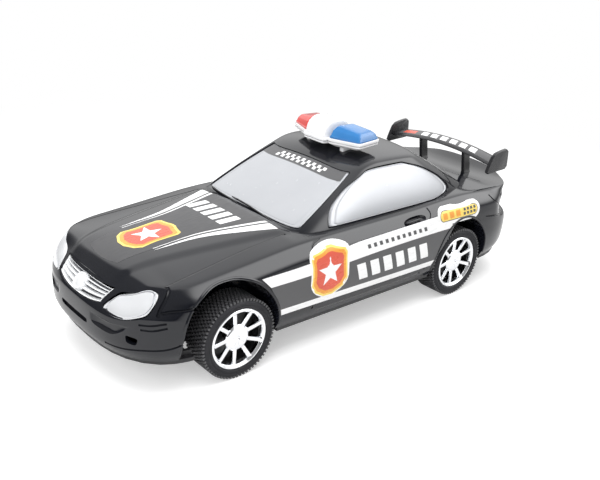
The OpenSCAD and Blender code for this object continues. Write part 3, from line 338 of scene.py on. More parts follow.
brass = finish("brass", (0.70, 0.52, 0.22), (0.60, 0.43, 0.17), (0.22, 0.36), Metallic=1.0)
print(len(bpy.data.materials), "materials so far")

# %% [markdown]
# ## Rubber and label inks
# The tyres' sides are dull, and their tread blocks are painted paler as a painted highlight. The labels are
# printed paper, which is smoother than rubber and rougher than the shell, with a finer grain.

# %% Rubber and inks
rubber = finish("rubber", (0.024, 0.024, 0.027), (0.032, 0.032, 0.035), (0.48, 0.66), grain=1400.0,
                depth=0.015, Specular_IOR_Level=0.12)
# painted highlight: the tread blocks' rubber is paler than the ring's, which shows dark in their gaps
rubber_painted_highlight = finish("rubber_painted_highlight", (0.075, 0.075, 0.079), (0.055, 0.055, 0.059), (0.36, 0.52), grain=1400.0,
                     depth=0.01)
print_white = finish("print_white", (0.86, 0.86, 0.86), (0.82, 0.82, 0.82), (0.25, 0.36), grain=2200.0)
print_grey = finish("print_grey", (0.072, 0.072, 0.075), (0.064, 0.064, 0.067), (0.30, 0.42), grain=2200.0)
print_black = finish("print_black", (0.034, 0.034, 0.037), (0.028, 0.028, 0.031), (0.30, 0.42), grain=2200.0)
print_orange = finish("print_orange", (0.80, 0.36, 0.05), (0.74, 0.28, 0.04), (0.25, 0.36), grain=2200.0)
print_red = finish("print_red", (0.68, 0.10, 0.055), (0.58, 0.08, 0.045), (0.25, 0.36), grain=2200.0)
print_yellow = finish("print_yellow", (0.86, 0.66, 0.16), (0.82, 0.60, 0.12), (0.25, 0.36), grain=2200.0)
print(len(bpy.data.materials), "materials in all")

# %% [markdown]
# ## The shell's surface
# A car body is read as two smooth skins: the lower body, from the sill up the wall and over the bonnet and
# boot, and the cabin, from the waist up and over the roof. It could be sculpted or subdivided from a few
# faces. Here each skin is a formula of two parameters, so windows, labels and shut lines can all be placed
# on it by their parameters. First come the sizes, in millimetres.

# %% Sizes of the lower body
AXLE_X, AXLE_Z, TYRE_R = np.array([84.0, -76.0]), 21.0, 21.0
NOSE_X, TAIL_X, HALF_W, SILL_Z, WALL = 142.0, -142.0, 57.0, 19.0, 1.8
NOSE_LEN, TAIL_LEN, NOSE_POWER, TAIL_POWER = 43.0, 51.0, 2.6, 2.8
# Knots of the wall section: distance inside the plan curve and share of the height, for nose, flank, tail
NOSE_IN, NOSE_UP = [3.5, 0.4, 0, 0.3, 1.0, 3.5, 6.2, 8.5], [0, 0.17, 0.42, 0.62, 0.69, 0.82, 0.92, 1]
SIDE_IN, SIDE_UP = [4, 1.5, 0, 0.2, 0.6, 1.2, 2.6, 7], [0, 0.13, 0.35, 0.54, 0.64, 0.75, 0.87, 1]
TAIL_IN, TAIL_UP = [4, 1, 0, 0.5, 4.5, 5.5, 4, 3], [0, 0.14, 0.34, 0.53, 0.58, 0.72, 0.9, 1]
TOP_KNOT = 7.0
EDGE_LINE = [[-139, 63.7], [-136, 62], [-131, 60.6], [-125, 60.4], [-106, 61], [-76, 62.5], [-36, 61],
             [4, 60.5], [44, 60], [84, 56.5], [114, 54], [121, 54.2], [125, 53.2], [129, 49.5], [131, 48.8],
             [133.5, 49.5]]
SPINE_LINE = [[-139, 63.7], [-131, 61], [-122, 59.8], [-112, 60.5], [-104, 62.5], [-59.75, 64], [0.25, 64],
              [42.5, 62.5], [49.5, 63.2], [109, 58.5], [127, 54.4], [133.5, 50]]
NOSE_BLEND, TAIL_BLEND = (108, 132), (-106, -128)
PANEL_X, PANEL_HALF, PANEL_H, PANEL_STEP, DECK_POWER = (42.0, 129.0), (38.0, 22.0), 0.9, 2.5, 2.4
print("body", NOSE_X - TAIL_X, "by", 2 * HALF_W, "mm")

# %% [markdown]
# ## Curves from a few numbers
# A designer draws a car with a few long curves. Each curve here goes through a short list of numbers, and
# the plan's corners are quarters of a squarish oval, which is fuller than a circle.

# %% Curves
def ease(a, b, x):
    """Smooth step: 0 at a, 1 at b, flat at both ends."""
    t = np.clip((x - a) / (b - a), 0, 1)
    return t * t * (3 - 2 * t)


def through(points, x):
    """Smooth curve through [x, value] pairs: cubic pieces whose slope at a pair is that of its neighbours."""
    px, py = np.asarray(points, float).T
    slope = np.gradient(py, px, edge_order=1)
    slope[1:-1] = (py[2:] - py[:-2]) / (px[2:] - px[:-2])
    x = np.clip(np.asarray(x, float), px[0], px[-1])
    i = np.clip(np.searchsorted(px, x, side="right") - 1, 0, len(px) - 2)
    h = px[i + 1] - px[i]
    t = (x - px[i]) / h
    return ((2 * t**3 - 3 * t**2 + 1) * py[i] + (t**3 - 2 * t**2 + t) * h * slope[i]
            + (3 * t**2 - 2 * t**3) * py[i + 1] + (t**3 - t**2) * h * slope[i + 1])


def quarter(psi, power):
    """Quarter of the curve x^power + y^power = 1, for psi from 0 to 90 in even steps."""
    corner = 0.5 ** (1 / power)
    y1 = np.clip(psi / 45, 0, 1) * corner
    x2 = np.clip((90 - psi) / 45, 0, 1) * corner
    low = psi <= 45
    x = np.where(low, (1 - y1**power) ** (1 / power), x2)
    y = np.where(low, y1, (1 - x2**power) ** (1 / power))
    return x, y


def knot(values, k):
    """Value of a section list at the knot k, which may lie between two."""
    return through(np.column_stack([np.arange(len(values)), values]), k)


print("bonnet edge over the front axle", through(EDGE_LINE, AXLE_X[0]).round(1), "mm up")

# %% [markdown]
# ## Plan and wall
# Seen from above, the car is a nose, two straight flanks and a tail. Its wall is that plan moved inwards by
# a section, which changes from nose to flank to tail. One wall formula with blended sections has no seams,
# which three separate surfaces would have.

# %% Plan and wall
def plan(u):
    """Plan curve of the left half and its normal: u is 0 to 1 round the nose, 1 to 2 flank, 2 to 3 tail."""
    xn, yn = quarter(np.clip(90 * u, 0, 90), NOSE_POWER)
    xt, yt = quarter(np.clip(90 * (3 - u), 0, 90), TAIL_POWER)
    nose, tail = u <= 1, u >= 2
    flank_x = NOSE_X - NOSE_LEN + (TAIL_X + TAIL_LEN - NOSE_X + NOSE_LEN) * np.clip(u - 1, 0, 1)
    nose_x, tail_x = NOSE_X - NOSE_LEN + NOSE_LEN * xn, TAIL_X + TAIL_LEN - TAIL_LEN * xt
    x = np.where(nose, nose_x, np.where(tail, tail_x, flank_x))
    y = HALF_W * np.where(nose, yn, np.where(tail, yt, 1))
    nx = np.where(tail, -xt ** (TAIL_POWER - 1) / TAIL_LEN, 0)
    nx = np.where(nose, xn ** (NOSE_POWER - 1) / NOSE_LEN, nx)
    ny = np.where(nose, yn ** (NOSE_POWER - 1) / HALF_W, np.where(tail, yt ** (TAIL_POWER - 1) / HALF_W, 1))
    return x, y, nx / np.hypot(nx, ny), ny / np.hypot(nx, ny)


def wall(u, k, inward):
    """Point of the wall: the plan curve at u, moved in along its normal by the section at knot k."""
    x, y, nx, ny = plan(u)
    to_nose, to_tail = ease(*NOSE_BLEND, x), ease(*TAIL_BLEND, x)

    def section(nose, side, tail, at):
        flank = knot(side, at)
        value = flank + (knot(nose, at) - flank) * to_nose
        return value + (knot(tail, at) - value) * to_tail

    deep = section(NOSE_IN, SIDE_IN, TAIL_IN, k) + inward
    top_x = x - nx * (section(NOSE_IN, SIDE_IN, TAIL_IN, np.full_like(x, TOP_KNOT)) + inward)
    share = section(NOSE_UP, SIDE_UP, TAIL_UP, k)
    z = SILL_Z + (through(EDGE_LINE, top_x) - SILL_Z) * share - inward * ease(TOP_KNOT - 2, TOP_KNOT, k)
    return x - nx * deep, y - ny * deep, z


print("half width at the sill", wall(np.array([1.5]), np.zeros(1), 0.0)[1].round(1), "mm")

# %% [markdown]
# ## Bonnet, boot and the whole lower body
# The deck falls from its spine to the wall's top edge, and the bonnet has a raised panel along its middle.
# The lower body is then the wall and the deck in one: q counts up the wall, and on over the deck.

# %% Deck and lower body
def deck_height(x, y, edge_y):
    """Bonnet and boot: from spine to edge by a power of the share across, plus the raised bonnet panel."""
    share = np.clip(np.abs(y) / np.maximum(edge_y, 0.001), 0, 1)
    edge, spine = through(EDGE_LINE, x), through(SPINE_LINE, x)
    half = np.interp(x, PANEL_X, PANEL_HALF)
    panel = (PANEL_H * ease(half + PANEL_STEP, half - PANEL_STEP, np.abs(y))
             * ease(PANEL_X[0] - 2, PANEL_X[0] + 4, x) * ease(PANEL_X[1] + 5, PANEL_X[1] - 1, x))
    return spine + (edge - spine) * share**DECK_POWER + panel


def body(u, q, inward=0.0):
    """Lower body: q is 0 to 1 up the wall and 1 to 2 over the deck to the centre line."""
    u, q = np.broadcast_arrays(np.asarray(u, float), np.asarray(q, float))
    x, y, z = wall(u, TOP_KNOT * np.clip(q, 0, 1), inward)
    edge_x, edge_y, _ = wall(u, np.full_like(u, TOP_KNOT), inward)
    across = edge_y * (1 - np.clip(q - 1, 0, 1))
    over = q > 1
    return np.stack([np.where(over, edge_x, x), np.where(over, across, y),
                     np.where(over, deck_height(edge_x, across, edge_y) - inward, z)], -1)


print("nose tip", body(0, 0.4).round(1), "door", body(1.5, 0.5).round(1))

# %% [markdown]
# ## The cabin
# The cabin is an oval at the waist that becomes a smaller oval at the roof, with a slight swell between
# them. A loft by hand would do as well, but the formula lets the windows be cut from the very same skin.

# %% Cabin
CABIN_X, FOOT_Z, ROOF_Z = -29.75, 61.0, 90.3
FOOT_FRONT, FOOT_REAR, FOOT_HALF, FOOT_POWER = 74.25, 74.25, 47.5, (7.0, 3.5)
ROOF_FRONT, ROOF_REAR, ROOF_HALF, ROOF_POWER = 27.75, 23.25, 35.5, (6.0, 6.0)
ROOF_PEAK, ROOF_FALL, ROOF_CROWN, BULGE = -21.0, (0.011, 0.0012), 0.0021, 1.6


def roof(x, y):
    """Roof height: falls with the square of the distance from its peak, and with the square of y."""
    return ROOF_Z - np.where(x > ROOF_PEAK, *ROOF_FALL) * (x - ROOF_PEAK) ** 2 - ROOF_CROWN * y * y


def outline(phi, front, rear, half, power):
    """Oval of the cabin, from phi 0 in front to 180 behind, with its own power at each end."""
    ahead = phi <= 90
    x1, y1 = quarter(np.where(ahead, phi, 0.0), power[0])
    x2, y2 = quarter(np.where(ahead, 0.0, 180 - phi), power[1])
    return np.where(ahead, front * x1, -rear * x2), half * np.where(ahead, y1, y2)


def cabin(phi, t, inward=0.0):
    """Cabin: t is 0 to 1 from the waist oval to the roof oval, with a bulge, and 1 to 2 over the roof."""
    phi, t = np.broadcast_arrays(np.asarray(phi, float), np.asarray(t, float))
    turn = np.abs(phi)
    foot_x, foot_y = outline(turn, FOOT_FRONT - inward, FOOT_REAR - inward, FOOT_HALF - inward, FOOT_POWER)
    top_x, top_y = outline(turn, ROOF_FRONT - inward, ROOF_REAR - inward, ROOF_HALF - inward, ROOF_POWER)
    s = np.clip(t, 0, 1)
    swell = BULGE * 4 * s * (1 - s)
    x = foot_x + (top_x - foot_x) * s + swell * np.cos(np.radians(turn))
    y = foot_y + (top_y - foot_y) * s + swell * np.sin(np.radians(turn))
    z = FOOT_Z + (roof(CABIN_X + top_x, top_y) - FOOT_Z) * t - inward * s
    r = np.clip(2 - t, 0, 1)
    over = t > 1
    x, y = np.where(over, top_x * r, x), np.where(over, top_y * r, y)
    z = np.where(over, roof(CABIN_X + x, y) - inward, z)
    return np.stack([CABIN_X + x, np.where(phi < 0, -y, y), z], -1)


print("roof top", cabin(0, 2).round(1))

# %% [markdown]
# ## Placing things by plain coordinates
# Door lines and side labels are drawn in x and height, and bonnet labels in x and y. A Shrinkwrap modifier
# could press them on, but solving the skin's formula for those coordinates is exact and leaves nothing
# live.

# %% Flank and deck
def flank(x, z, inward=0.0):
    """Point of the left side at x and z: u and the knot are moved until the wall has that x and z."""
    x, z = np.broadcast_arrays(np.asarray(x, float), np.asarray(z, float))
    table = np.linspace(0.3, 2.7, 600)
    u = np.interp(-x, -plan(table)[0], table)
    steps = np.linspace(0, 1, 49)
    for _ in range(4):
        heights = body(u[..., None], steps)[..., 2]
        i = np.clip((heights < z[..., None]).sum(-1) - 1, 0, len(steps) - 2)
        low = np.take_along_axis(heights, i[..., None], -1)[..., 0]
        high = np.take_along_axis(heights, i[..., None] + 1, -1)[..., 0]
        q = np.clip((i + (z - low) / np.maximum(high - low, 1e-6)) / (len(steps) - 1), 0, 1)
        here, ahead = body(u, q)[..., 0], body(u + 0.01, q)[..., 0]
        u = u + np.clip((x - here) * 0.01 / np.minimum(ahead - here, -1e-4), -0.08, 0.08)
    return body(u, q, inward)


def deck(x, y, inward=0.0):
    """Point of the bonnet or boot at x and y."""
    x, y = np.broadcast_arrays(np.asarray(x, float), np.asarray(y, float))
    table = np.linspace(0, 3, 900)
    edge_x, edge_y, _ = wall(table, np.full_like(table, TOP_KNOT), 0.0)
    return np.stack([x, y, deck_height(x, y, np.interp(-x, -edge_x, edge_y)) - inward], -1)


print("door at the waist", flank(0, 58).round(1))

# %% [markdown]
# ## The dense shell
# On the toy the shell is one moulding with openings for the windows, lamps and grille, four wheel wells,
# and sunk lines where a real car's doors and bonnet part. It is made as the moulder would think of it: one
# outer solid, one inner solid to hollow it, and then tools that cut openings and lines.

# %% Outer and inner solids
def round_rows(grid, row, reach, passes=3):
    """Rounds a crease along a row of a grid: each point moves to the mean of itself and its neighbours."""
    work = grid[:, row - reach - 1:row + reach + 2].copy()
    for _ in range(passes):
        work[:, 1:-1] = 0.5 * work[:, 1:-1] + 0.25 * (work[:, :-2] + work[:, 2:])
    return work[:, 1:-1]


def lower_solid(inward, foot, steps, wall_rows, deck_rows):
    """Closed lower body: at each u a ring up the left wall, over the deck and down the right wall."""
    u = np.concatenate([s + np.arange(n) / n for s, n in enumerate(steps)] + [[3.0]])
    q = np.concatenate([np.linspace(0, 1, wall_rows + 1), np.linspace(1, 2, deck_rows + 1)[1:]])
    left = body(u[:, None], q[None], inward)
    left[:, wall_rows - 3:wall_rows + 4] = round_rows(left, wall_rows, 3)
    left[:, 0, 2] = foot
    return loft(np.concatenate([left, left[:, -2::-1] * [1, -1, 1]], 1), caps=False)


def cabin_solid(inward, foot, columns, wall_rows, roof_rows):
    """Closed cabin: ovals from the foot to the roof, shrinking to a point in the roof's middle."""
    phi = np.linspace(-180, 180, columns, endpoint=False)
    t = np.concatenate([np.linspace(0, 1, wall_rows + 1), np.linspace(1, 2, roof_rows + 1)[1:]])
    grid = cabin(phi[:, None], t[None], inward)
    grid[:, wall_rows - 3:wall_rows + 4] = round_rows(grid, wall_rows, 3)
    low = grid[:, :1] * [1, 1, 0] + [0, 0, foot]
    return loft(np.concatenate([low, grid], 1).transpose(1, 0, 2), caps=True)


shell = solid("body_shell_moulding", lower_solid(0.0, SILL_Z, (56, 150, 52), 48, 46))
combine(shell, cabin_solid(0.0, FOOT_Z - 8, 200, 40, 16), "UNION")
cavity = solid("cavity", lower_solid(WALL, SILL_Z - 3, (30, 60, 26), 20, 10))
combine(cavity, cabin_solid(WALL, FOOT_Z - 12, 80, 14, 8), "UNION")
print("outer solid", len(shell.data.polygons), "faces")

# %% [markdown]
# ## Wheel arches
# Each wheel turns in a well that is open at the side and below. The front arch is squarer ahead of the
# wheel than behind it, so its curve has its own power there. Outside, a rolled lip follows the arch, and
# inside, the well keeps a wall, because the hollow is cut back before it is taken from the shell.

# %% Arch curves
# Middle, half length behind and ahead of it, height over the axle, and the power of the front quarter
ARCHES = [(AXLE_X[0] + 5.5, 28.0, 26.4, 32.0, 2.5), (AXLE_X[1], 23.5, 23.5, 28.8, 2.0)]
WELL_Y, OUTSIDE_Y = 36.5, 70.0


def arch_curve(arch, grow, angle):
    """Arch over the axle: behind its middle a quarter ellipse, ahead of it a quarter with its own power."""
    middle, behind, ahead, top, power = arch
    c, s = np.cos(angle), np.sin(angle)
    half, p = np.where(c > 0, ahead, behind), np.where(c > 0, power, 2.0)
    return (middle + (half + grow) * np.sign(c) * np.abs(c) ** (2 / p),
            AXLE_Z + (top + grow) * np.abs(s) ** (2 / p))


def arch_line(arch, grow, low, count=64):
    """Outline of an arch in x and z: its curve, closed straight down to the level low."""
    x, z = arch_curve(arch, grow, np.linspace(0, np.pi, count))
    return np.column_stack([np.append(x, [x[-1], x[0]]), np.append(z, [low, low])])


def prism(line, y0, y1):
    """Solid between two copies of an x, z outline, at y0 and at y1."""
    return loft([np.column_stack([line[:, 0], np.full(len(line), y), line[:, 1]]) for y in (y0, y1)])


print("front arch", arch_line(ARCHES[0], 0, SILL_Z)[:, 0].round(1)[[0, -1]], "mm along the car")

# %% [markdown]
# ## Lips and wells
# A rolled edge is a round bar along the arch, joined to the shell before the well is cut. The same bar,
# used as a tool, will cut the shut lines later.

# %% Lips and wells
def tube(path, radius, facing=(0.35, 1.0, 0.5), sides=10):
    """Round bar along a path: at each point a circle square to the path's direction."""
    ahead = np.gradient(path, axis=0)
    ahead /= np.linalg.norm(ahead, axis=1, keepdims=True)
    beside = np.cross(ahead, facing)
    beside /= np.linalg.norm(beside, axis=1, keepdims=True)
    out = np.cross(beside, ahead)
    angle = np.linspace(0, 2 * np.pi, sides, endpoint=False)
    ring = np.cos(angle)[None, :, None] * beside[:, None] + np.sin(angle)[None, :, None] * out[:, None]
    return loft(path[:, None] + np.asarray(radius).reshape(-1, 1, 1) * ring)


def arch_lip(arch):
    """Rolled edge: a bar along the arch on the flank."""
    path = flank(*arch_curve(arch, 0.7, np.radians(np.linspace(3, 177, 70))), 0.55)
    return tube(path, 1.0, facing=(0, 1, 0.2))


walls = [prism(arch_line(a, WALL, SILL_Z - 4), WELL_Y - WALL, OUTSIDE_Y) for a in ARCHES]
wells = [prism(arch_line(a, 0, SILL_Z - 5), WELL_Y, OUTSIDE_Y) for a in ARCHES]
AXLE_SLOT = np.array([[-2.6, -10.0], [2.6, -10.0], [2.6, 2.6], [-2.6, 2.6]])
slots = [prism(AXLE_SLOT + [x, AXLE_Z], WELL_Y - WALL - 1, WELL_Y + 1) for x in AXLE_X]
combine(cavity, both_sides(*walls), "DIFFERENCE")
combine(shell, both_sides(*(arch_lip(a) for a in ARCHES)), "UNION")
combine(shell, cavity, "DIFFERENCE")
combine(shell, both_sides(*wells), "DIFFERENCE")
combine(shell, both_sides(*slots), "DIFFERENCE")
print("hollow shell", len(shell.data.polygons), "faces")

# %% [markdown]
# ## Where the windows, lamps and grille are
# A window is a patch of the skin, so it is enough to say which parameters it covers. Each place below maps
# a square of a and b, from -1 to 1, to the skin's own parameters, and can grow by a seat's width for the
# cut.

# %% Places of the panels
SEAT, SINK = 0.2, 0.5
PHI_PER_MM, T_PER_MM, U_PER_MM, Q_PER_MM = 0.9, 0.035, 0.011, 0.022
SIDE_FRONT = [[0, 53.5], [0.2, 50.2], [0.38, 47.8], [0.55, 47.2], [0.78, 49], [1, 58.5]]
SIDE_REAR = [[0, 112], [0.12, 124], [0.3, 128], [0.6, 127.5], [0.85, 120], [1, 104]]
LAMP_U = (0.27, 0.595)
LAMP_LOW = [[0.27, 0.61], [0.35, 0.555], [0.45, 0.515], [0.53, 0.575], [0.575, 0.72], [0.595, 0.83]]
LAMP_HIGH = [[0.27, 0.635], [0.305, 0.77], [0.345, 0.915], [0.39, 0.945], [0.45, 0.955], [0.535, 0.962],
             [0.595, 0.91]]


def front_screen(a, b, grow=0.0):
    """Windscreen in the cabin's phi and t: its half width in phi grows a little from the foot to the top."""
    s = (b + 1) / 2
    half = np.interp(s, [0, 1], [42.2, 45.0]) + grow * PHI_PER_MM
    return half * a, 0.06 + 0.88 * s + grow * T_PER_MM * b


def rear_screen(a, b, grow=0.0):
    """Rear window: the same about phi 180, a little narrower."""
    s = (b + 1) / 2
    half = np.interp(s, [0, 1], [38, 40]) + grow * PHI_PER_MM
    return 180 - half * a, 0.06 + 0.88 * s + grow * T_PER_MM * b


def side_glass(a, b, grow=0.0):
    """Side window: from a front line to a rear line, both smooth curves of the share of the height."""
    s, c = (b + 1) / 2, (a + 1) / 2
    ahead, behind = through(SIDE_FRONT, s) - grow * PHI_PER_MM, through(SIDE_REAR, s) + grow * PHI_PER_MM
    return ahead + (behind - ahead) * c, 0.04 + 0.88 * s + grow * T_PER_MM * b


def headlamp(a, b, grow=0.0):
    """Headlight in the body's u and q: u runs along the lamp, and q lies between two curves of u."""
    c = (a + 1) / 2
    at = LAMP_U[0] + (LAMP_U[1] - LAMP_U[0]) * c
    low, high = through(LAMP_LOW, at), through(LAMP_HIGH, at)
    return at + grow * U_PER_MM * a, (low + high) / 2 + ((high - low) / 2 + grow * Q_PER_MM) * b


def grille_place(a, b, grow=0.0):
    """Grille: u grows with the distance from the middle, and q lies between two parabolas."""
    h, c = (b + 1) / 2, np.abs(a)
    low, high = 0.585 + 0.075 * c * c, 0.94 + 0.025 * c * c
    return c * (0.24 + 0.045 * h + grow * U_PER_MM), low + (high - low) * h + grow * Q_PER_MM * b


print("headlight from u", LAMP_U[0], "to", LAMP_U[1])

# %% [markdown]
# ## Openings
# Each opening is cut with the panel's own outline, grown by the seat and carried from outside the shell to
# its inner side. A panel with rounded corners is built of rings about its middle, so that its edge is one
# clean line.

# %% Openings
def disc(power, rings, around, curve=None):
    """Unit square with rounded corners as rings about its middle: a and b run from -1 to 1."""
    angle = np.linspace(0, 2 * np.pi, around, endpoint=False)
    c, s = np.cos(angle), np.sin(angle)
    reach = (np.abs(c) ** power + np.abs(s) ** power) ** (-1 / power)
    radius = np.linspace(0, 1, rings + 1)[:, None]
    radius = curve(radius) if curve else radius
    return radius * reach * c, radius * reach * s, np.broadcast_to(radius, (rings + 1, around))


def side_of(v):
    """Factors that put a point on the side that v is on: y changes its sign where v is below zero."""
    return np.stack([np.ones_like(v), np.where(v < 0, -1.0, 1.0), np.ones_like(v)], -1)


def wrapped_cabin(phi, t, inward=0.0):
    """The cabin for phi beyond 180 degrees, which is the other side."""
    return cabin((np.asarray(phi) + 180) % 360 - 180, t, inward)


def signed_body(place):
    """Lower body on both sides of the centre line: the sign of a chooses the side."""
    def skin(a, b, grow, inward):
        return body(*place(a, b, grow), inward) * side_of(a)
    return skin


def skin_of(surface, place):
    """Skin of a panel: the surface at the panel's place."""
    return lambda a, b, grow, inward: surface(*place(a, b, grow), inward)


PANELS = {"windscreen": skin_of(cabin, front_screen), "rear_window": skin_of(wrapped_cabin, rear_screen),
          "side_window": skin_of(cabin, side_glass), "headlight": skin_of(body, headlamp)}
grille_skin = signed_body(grille_place)


def grid(rows, cols):
    """Square grid of a and b from -1 to 1, with b along the rows."""
    b, a = np.meshgrid(np.linspace(-1, 1, rows), np.linspace(-1, 1, cols), indexing="ij")
    return a, b


ROUNDING = {"windscreen": 60, "rear_window": 24, "side_window": 44, "headlight": 7}


def opening(skin, power):
    """Cutting tool for a panel: through the shell from outside, a seat's width larger than the panel."""
    a, b, _ = disc(power, 12, 240)
    return loft(np.concatenate([skin(a, b, SEAT, -2.0), skin(a, b, SEAT, WALL + 2)[::-1]]), caps=False)


def square_opening(skin, rows=24, cols=40):
    """The same for a panel with square corners."""
    a, b = grid(rows, cols)
    return plate(skin(a, b, SEAT, -2.0), skin(a, b, SEAT, WALL + 2))


cuts = {name: opening(PANELS[name], power) for name, power in ROUNDING.items()}
combine(shell, both_sides(cuts["side_window"], cuts["headlight"]), "DIFFERENCE")
combine(shell, together(cuts["windscreen"], cuts["rear_window"], square_opening(grille_skin)), "DIFFERENCE")
print("shell with openings", len(shell.data.polygons), "faces")

# %% [markdown]
# ## Shut lines
# On the toy, doors, bonnet and bumpers are only lines sunk into the one moulding. A texture could paint
# them, but a real groove catches light from every side, so a thin round bar is carried along each line and
# cut away.

# %% Shut lines
def along(points, count=70):
    """Smooth path through given parameter pairs, spaced by their distance."""
    points = np.asarray(points, float)
    gone = np.concatenate([[0], np.cumsum(np.linalg.norm(np.diff(points, axis=0), axis=1))])
    s = np.linspace(0, gone[-1], count)
    return [through(np.column_stack([gone, points[:, i]]), s) for i in (0, 1)]


GROOVE, WIDE = 0.52, 0.85
DOOR_FRONT = [[33, 60.2], [38.5, 58.5], [41, 55], [42, 46], [41.5, 34], [40, 25]]
DOOR_LOW = [[37.5, 23.3], [10, 22.8], [-20, 22.8], [-42, 23.3]]
DOOR_REAR = [[-44.5, 25], [-46.5, 36], [-46, 48], [-45, 54], [-47.3, 58], [-46.5, 60.6]]
BONNET_EDGE = [[118, 44.5], [108, 43.9], [93, 42.5], [75, 40.6], [60, 39.6], [46, 39.0]]
LAMP_SEAM = [[0.656, 1.03], [0.664, 0.96], [0.636, 0.81], [0.604, 0.66], [0.592, 0.58]]
BUMPER_TOP = [[0.614, 0.63], [0.69, 0.672], [0.79, 0.70], [0.875, 0.717]]
RUB_HIGH = [[0.502, 0.395], [0.564, 0.395], [0.645, 0.44]]
RUB_LOW = [[0.51, 0.345], [0.57, 0.345], [0.65, 0.385]]
CHIN = [[0.30, 0.155], [0.42, 0.16], [0.524, 0.17], [0.628, 0.185], [0.708, 0.215], [0.75, 0.245]]
TAIL_SEAM = [[2.13, 0.93], [2.2, 0.80], [2.32, 0.70], [2.45, 0.665]]
TAIL_BUMPER = [[2.06, 0.60], [2.2, 0.555], [2.4, 0.50], [2.6, 0.49], [2.9, 0.49]]
BACKWARD = (-0.5, 1, 0.3)


def groove(surface, points, radius=GROOVE, **facing):
    """Round cutting bar along a path on a skin, its middle just under the surface."""
    return tube(surface(*along(points), 0.05), radius, **facing)


lines = [
    [groove(flank, DOOR_FRONT), groove(flank, DOOR_REAR)],
    [groove(flank, DOOR_LOW, facing=(0, 1, 0.1))],
    [groove(deck, BONNET_EDGE)],
    [groove(body, LAMP_SEAM, WIDE)],
    [groove(body, BUMPER_TOP, WIDE), groove(body, RUB_HIGH), groove(body, RUB_LOW), groove(body, CHIN)],
    [groove(body, TAIL_SEAM, facing=BACKWARD), groove(body, TAIL_BUMPER, facing=BACKWARD)],
]
for group in lines:
    combine(shell, both_sides(*group), "DIFFERENCE")
boot_y = np.linspace(-37, 37, 90)
boot_line = deck(-108 - 4 * (boot_y / 37) ** 2, boot_y, 0.05)
combine(shell, tube(boot_line, GROOVE, facing=(0.3, 0, 1)), "DIFFERENCE")
print("shell with its shut lines", len(shell.data.polygons), "faces")

# %% [markdown]
# ## Pockets
# The bumper has two small square holes and two wide shallow dishes, the tail has a plain sunk plate, and
# each door handle lies in a dish. All are cut with one tool: a rounded patch of the skin, flat or deepening
# from its rim.

# %% Pockets
def between(corners, a, b):
    """Point between four corners for a and b from -1 to 1: each corner counts by how near it is."""
    c = np.asarray(corners, float)
    return [((1 - a) * (1 - b) * c[0, i] + (1 + a) * (1 - b) * c[1, i] + (1 + a) * (1 + b) * c[2, i]
             + (1 - a) * (1 + b) * c[3, i]) / 4 for i in (0, 1)]


def pocket(surface, corners, depth, power=6, dish=0, rings=8, around=64):
    """Pocket in a skin, a rounded patch between four corners: flat, or a dish that deepens from its rim."""
    a, b, radius = disc(power, rings, around)
    place = between(corners, a, b)
    low = (depth + 0.3) * (1 - radius**dish) - 0.3 if dish else depth
    return loft(np.concatenate([surface(*place, -1.5), surface(*place, low)[::-1]]), caps=False)


def whole_nose(v, q, inward=0.0):
    """Body across the centre line: v is u with the sign of the side."""
    return body(np.abs(v), q, inward) * side_of(v)


def whole_tail(v, q, inward=0.0):
    """The same across the tail, where u is counted back from 3."""
    return body(3 - np.abs(v), q, inward) * side_of(v)


SMALL_HOLE = [[0.440, 0.225], [0.488, 0.205], [0.500, 0.262], [0.436, 0.295]]
WIDE_DISH = [[0.19, 0.275], [0.36, 0.255], [0.49, 0.385], [0.175, 0.415]]
HANDLE_DISH = [[-43.5, 54.4], [-25.0, 53.9], [-25.0, 58.3], [-43.5, 58.8]]
CHIN_SLOT = [[-0.15, 0.235], [0.15, 0.235], [0.15, 0.285], [-0.15, 0.285]]
TAIL_PLATE = [[-0.22, 0.24], [0.22, 0.24], [0.22, 0.42], [-0.22, 0.42]]
holes = [pocket(body, SMALL_HOLE, 4.0, power=4), pocket(body, WIDE_DISH, 1.6, power=5, dish=3),
         pocket(flank, HANDLE_DISH, 1.5, power=2.4, dish=4)]
combine(shell, both_sides(*holes), "DIFFERENCE")
holes = [pocket(whole_nose, CHIN_SLOT, 1.2), pocket(whole_tail, TAIL_PLATE, 0.7, power=8)]
combine(shell, together(*holes), "DIFFERENCE")
print("shell with its pockets", len(shell.data.polygons), "faces")

# %% [markdown]
# ## Tail lamps, door handles and the finished shell
# The tail lamps are black pads of the same moulding, and the handles are slim pads in their dishes. A pad
# is a patch of the skin that bows outwards, joined to the shell. Then the shell is whole and gets its
# gloss.

# %% Pads and the finished shell
def lens_pad(surface, corners, proud, depth, power=2.4, rings=8, around=48):
    """Rounded pad on a skin: it stands proud in the middle and sinks to the depth at its rim."""
    a, b, radius = disc(power, rings, around)
    place = between(corners, a, b)
    bow = depth - (proud + depth) * np.sqrt(np.clip(1 - radius**2, 0, 1))
    return loft(np.concatenate([surface(*place, bow), surface(*place, depth + 0.6)[::-1]]), caps=False)


TAIL_LAMP = [[2.30, 0.66], [2.64, 0.64], [2.64, 0.84], [2.24, 0.90]]
HANDLE = [[-42.4, 56.1], [-26.2, 55.6], [-26.2, 57.0], [-42.4, 57.5]]
combine(shell, both_sides(lens_pad(body, TAIL_LAMP, 0.9, 1.1, power=7)), "UNION")
combine(shell, both_sides(lens_pad(flank, HANDLE, 0.35, 1.6)), "UNION")
dress(shell, black_gloss, "car_body", ["body_shell"], smooth=32)

# %% [markdown]
# ## Windows and headlights
# The toy has no clear glass: its windows and lamps are silvered mouldings set into the shell. They could be
# extruded from an outline, but each is the skin again, sunk a little, with an edge that rolls down into its
# seat, so it follows the car's curves exactly.

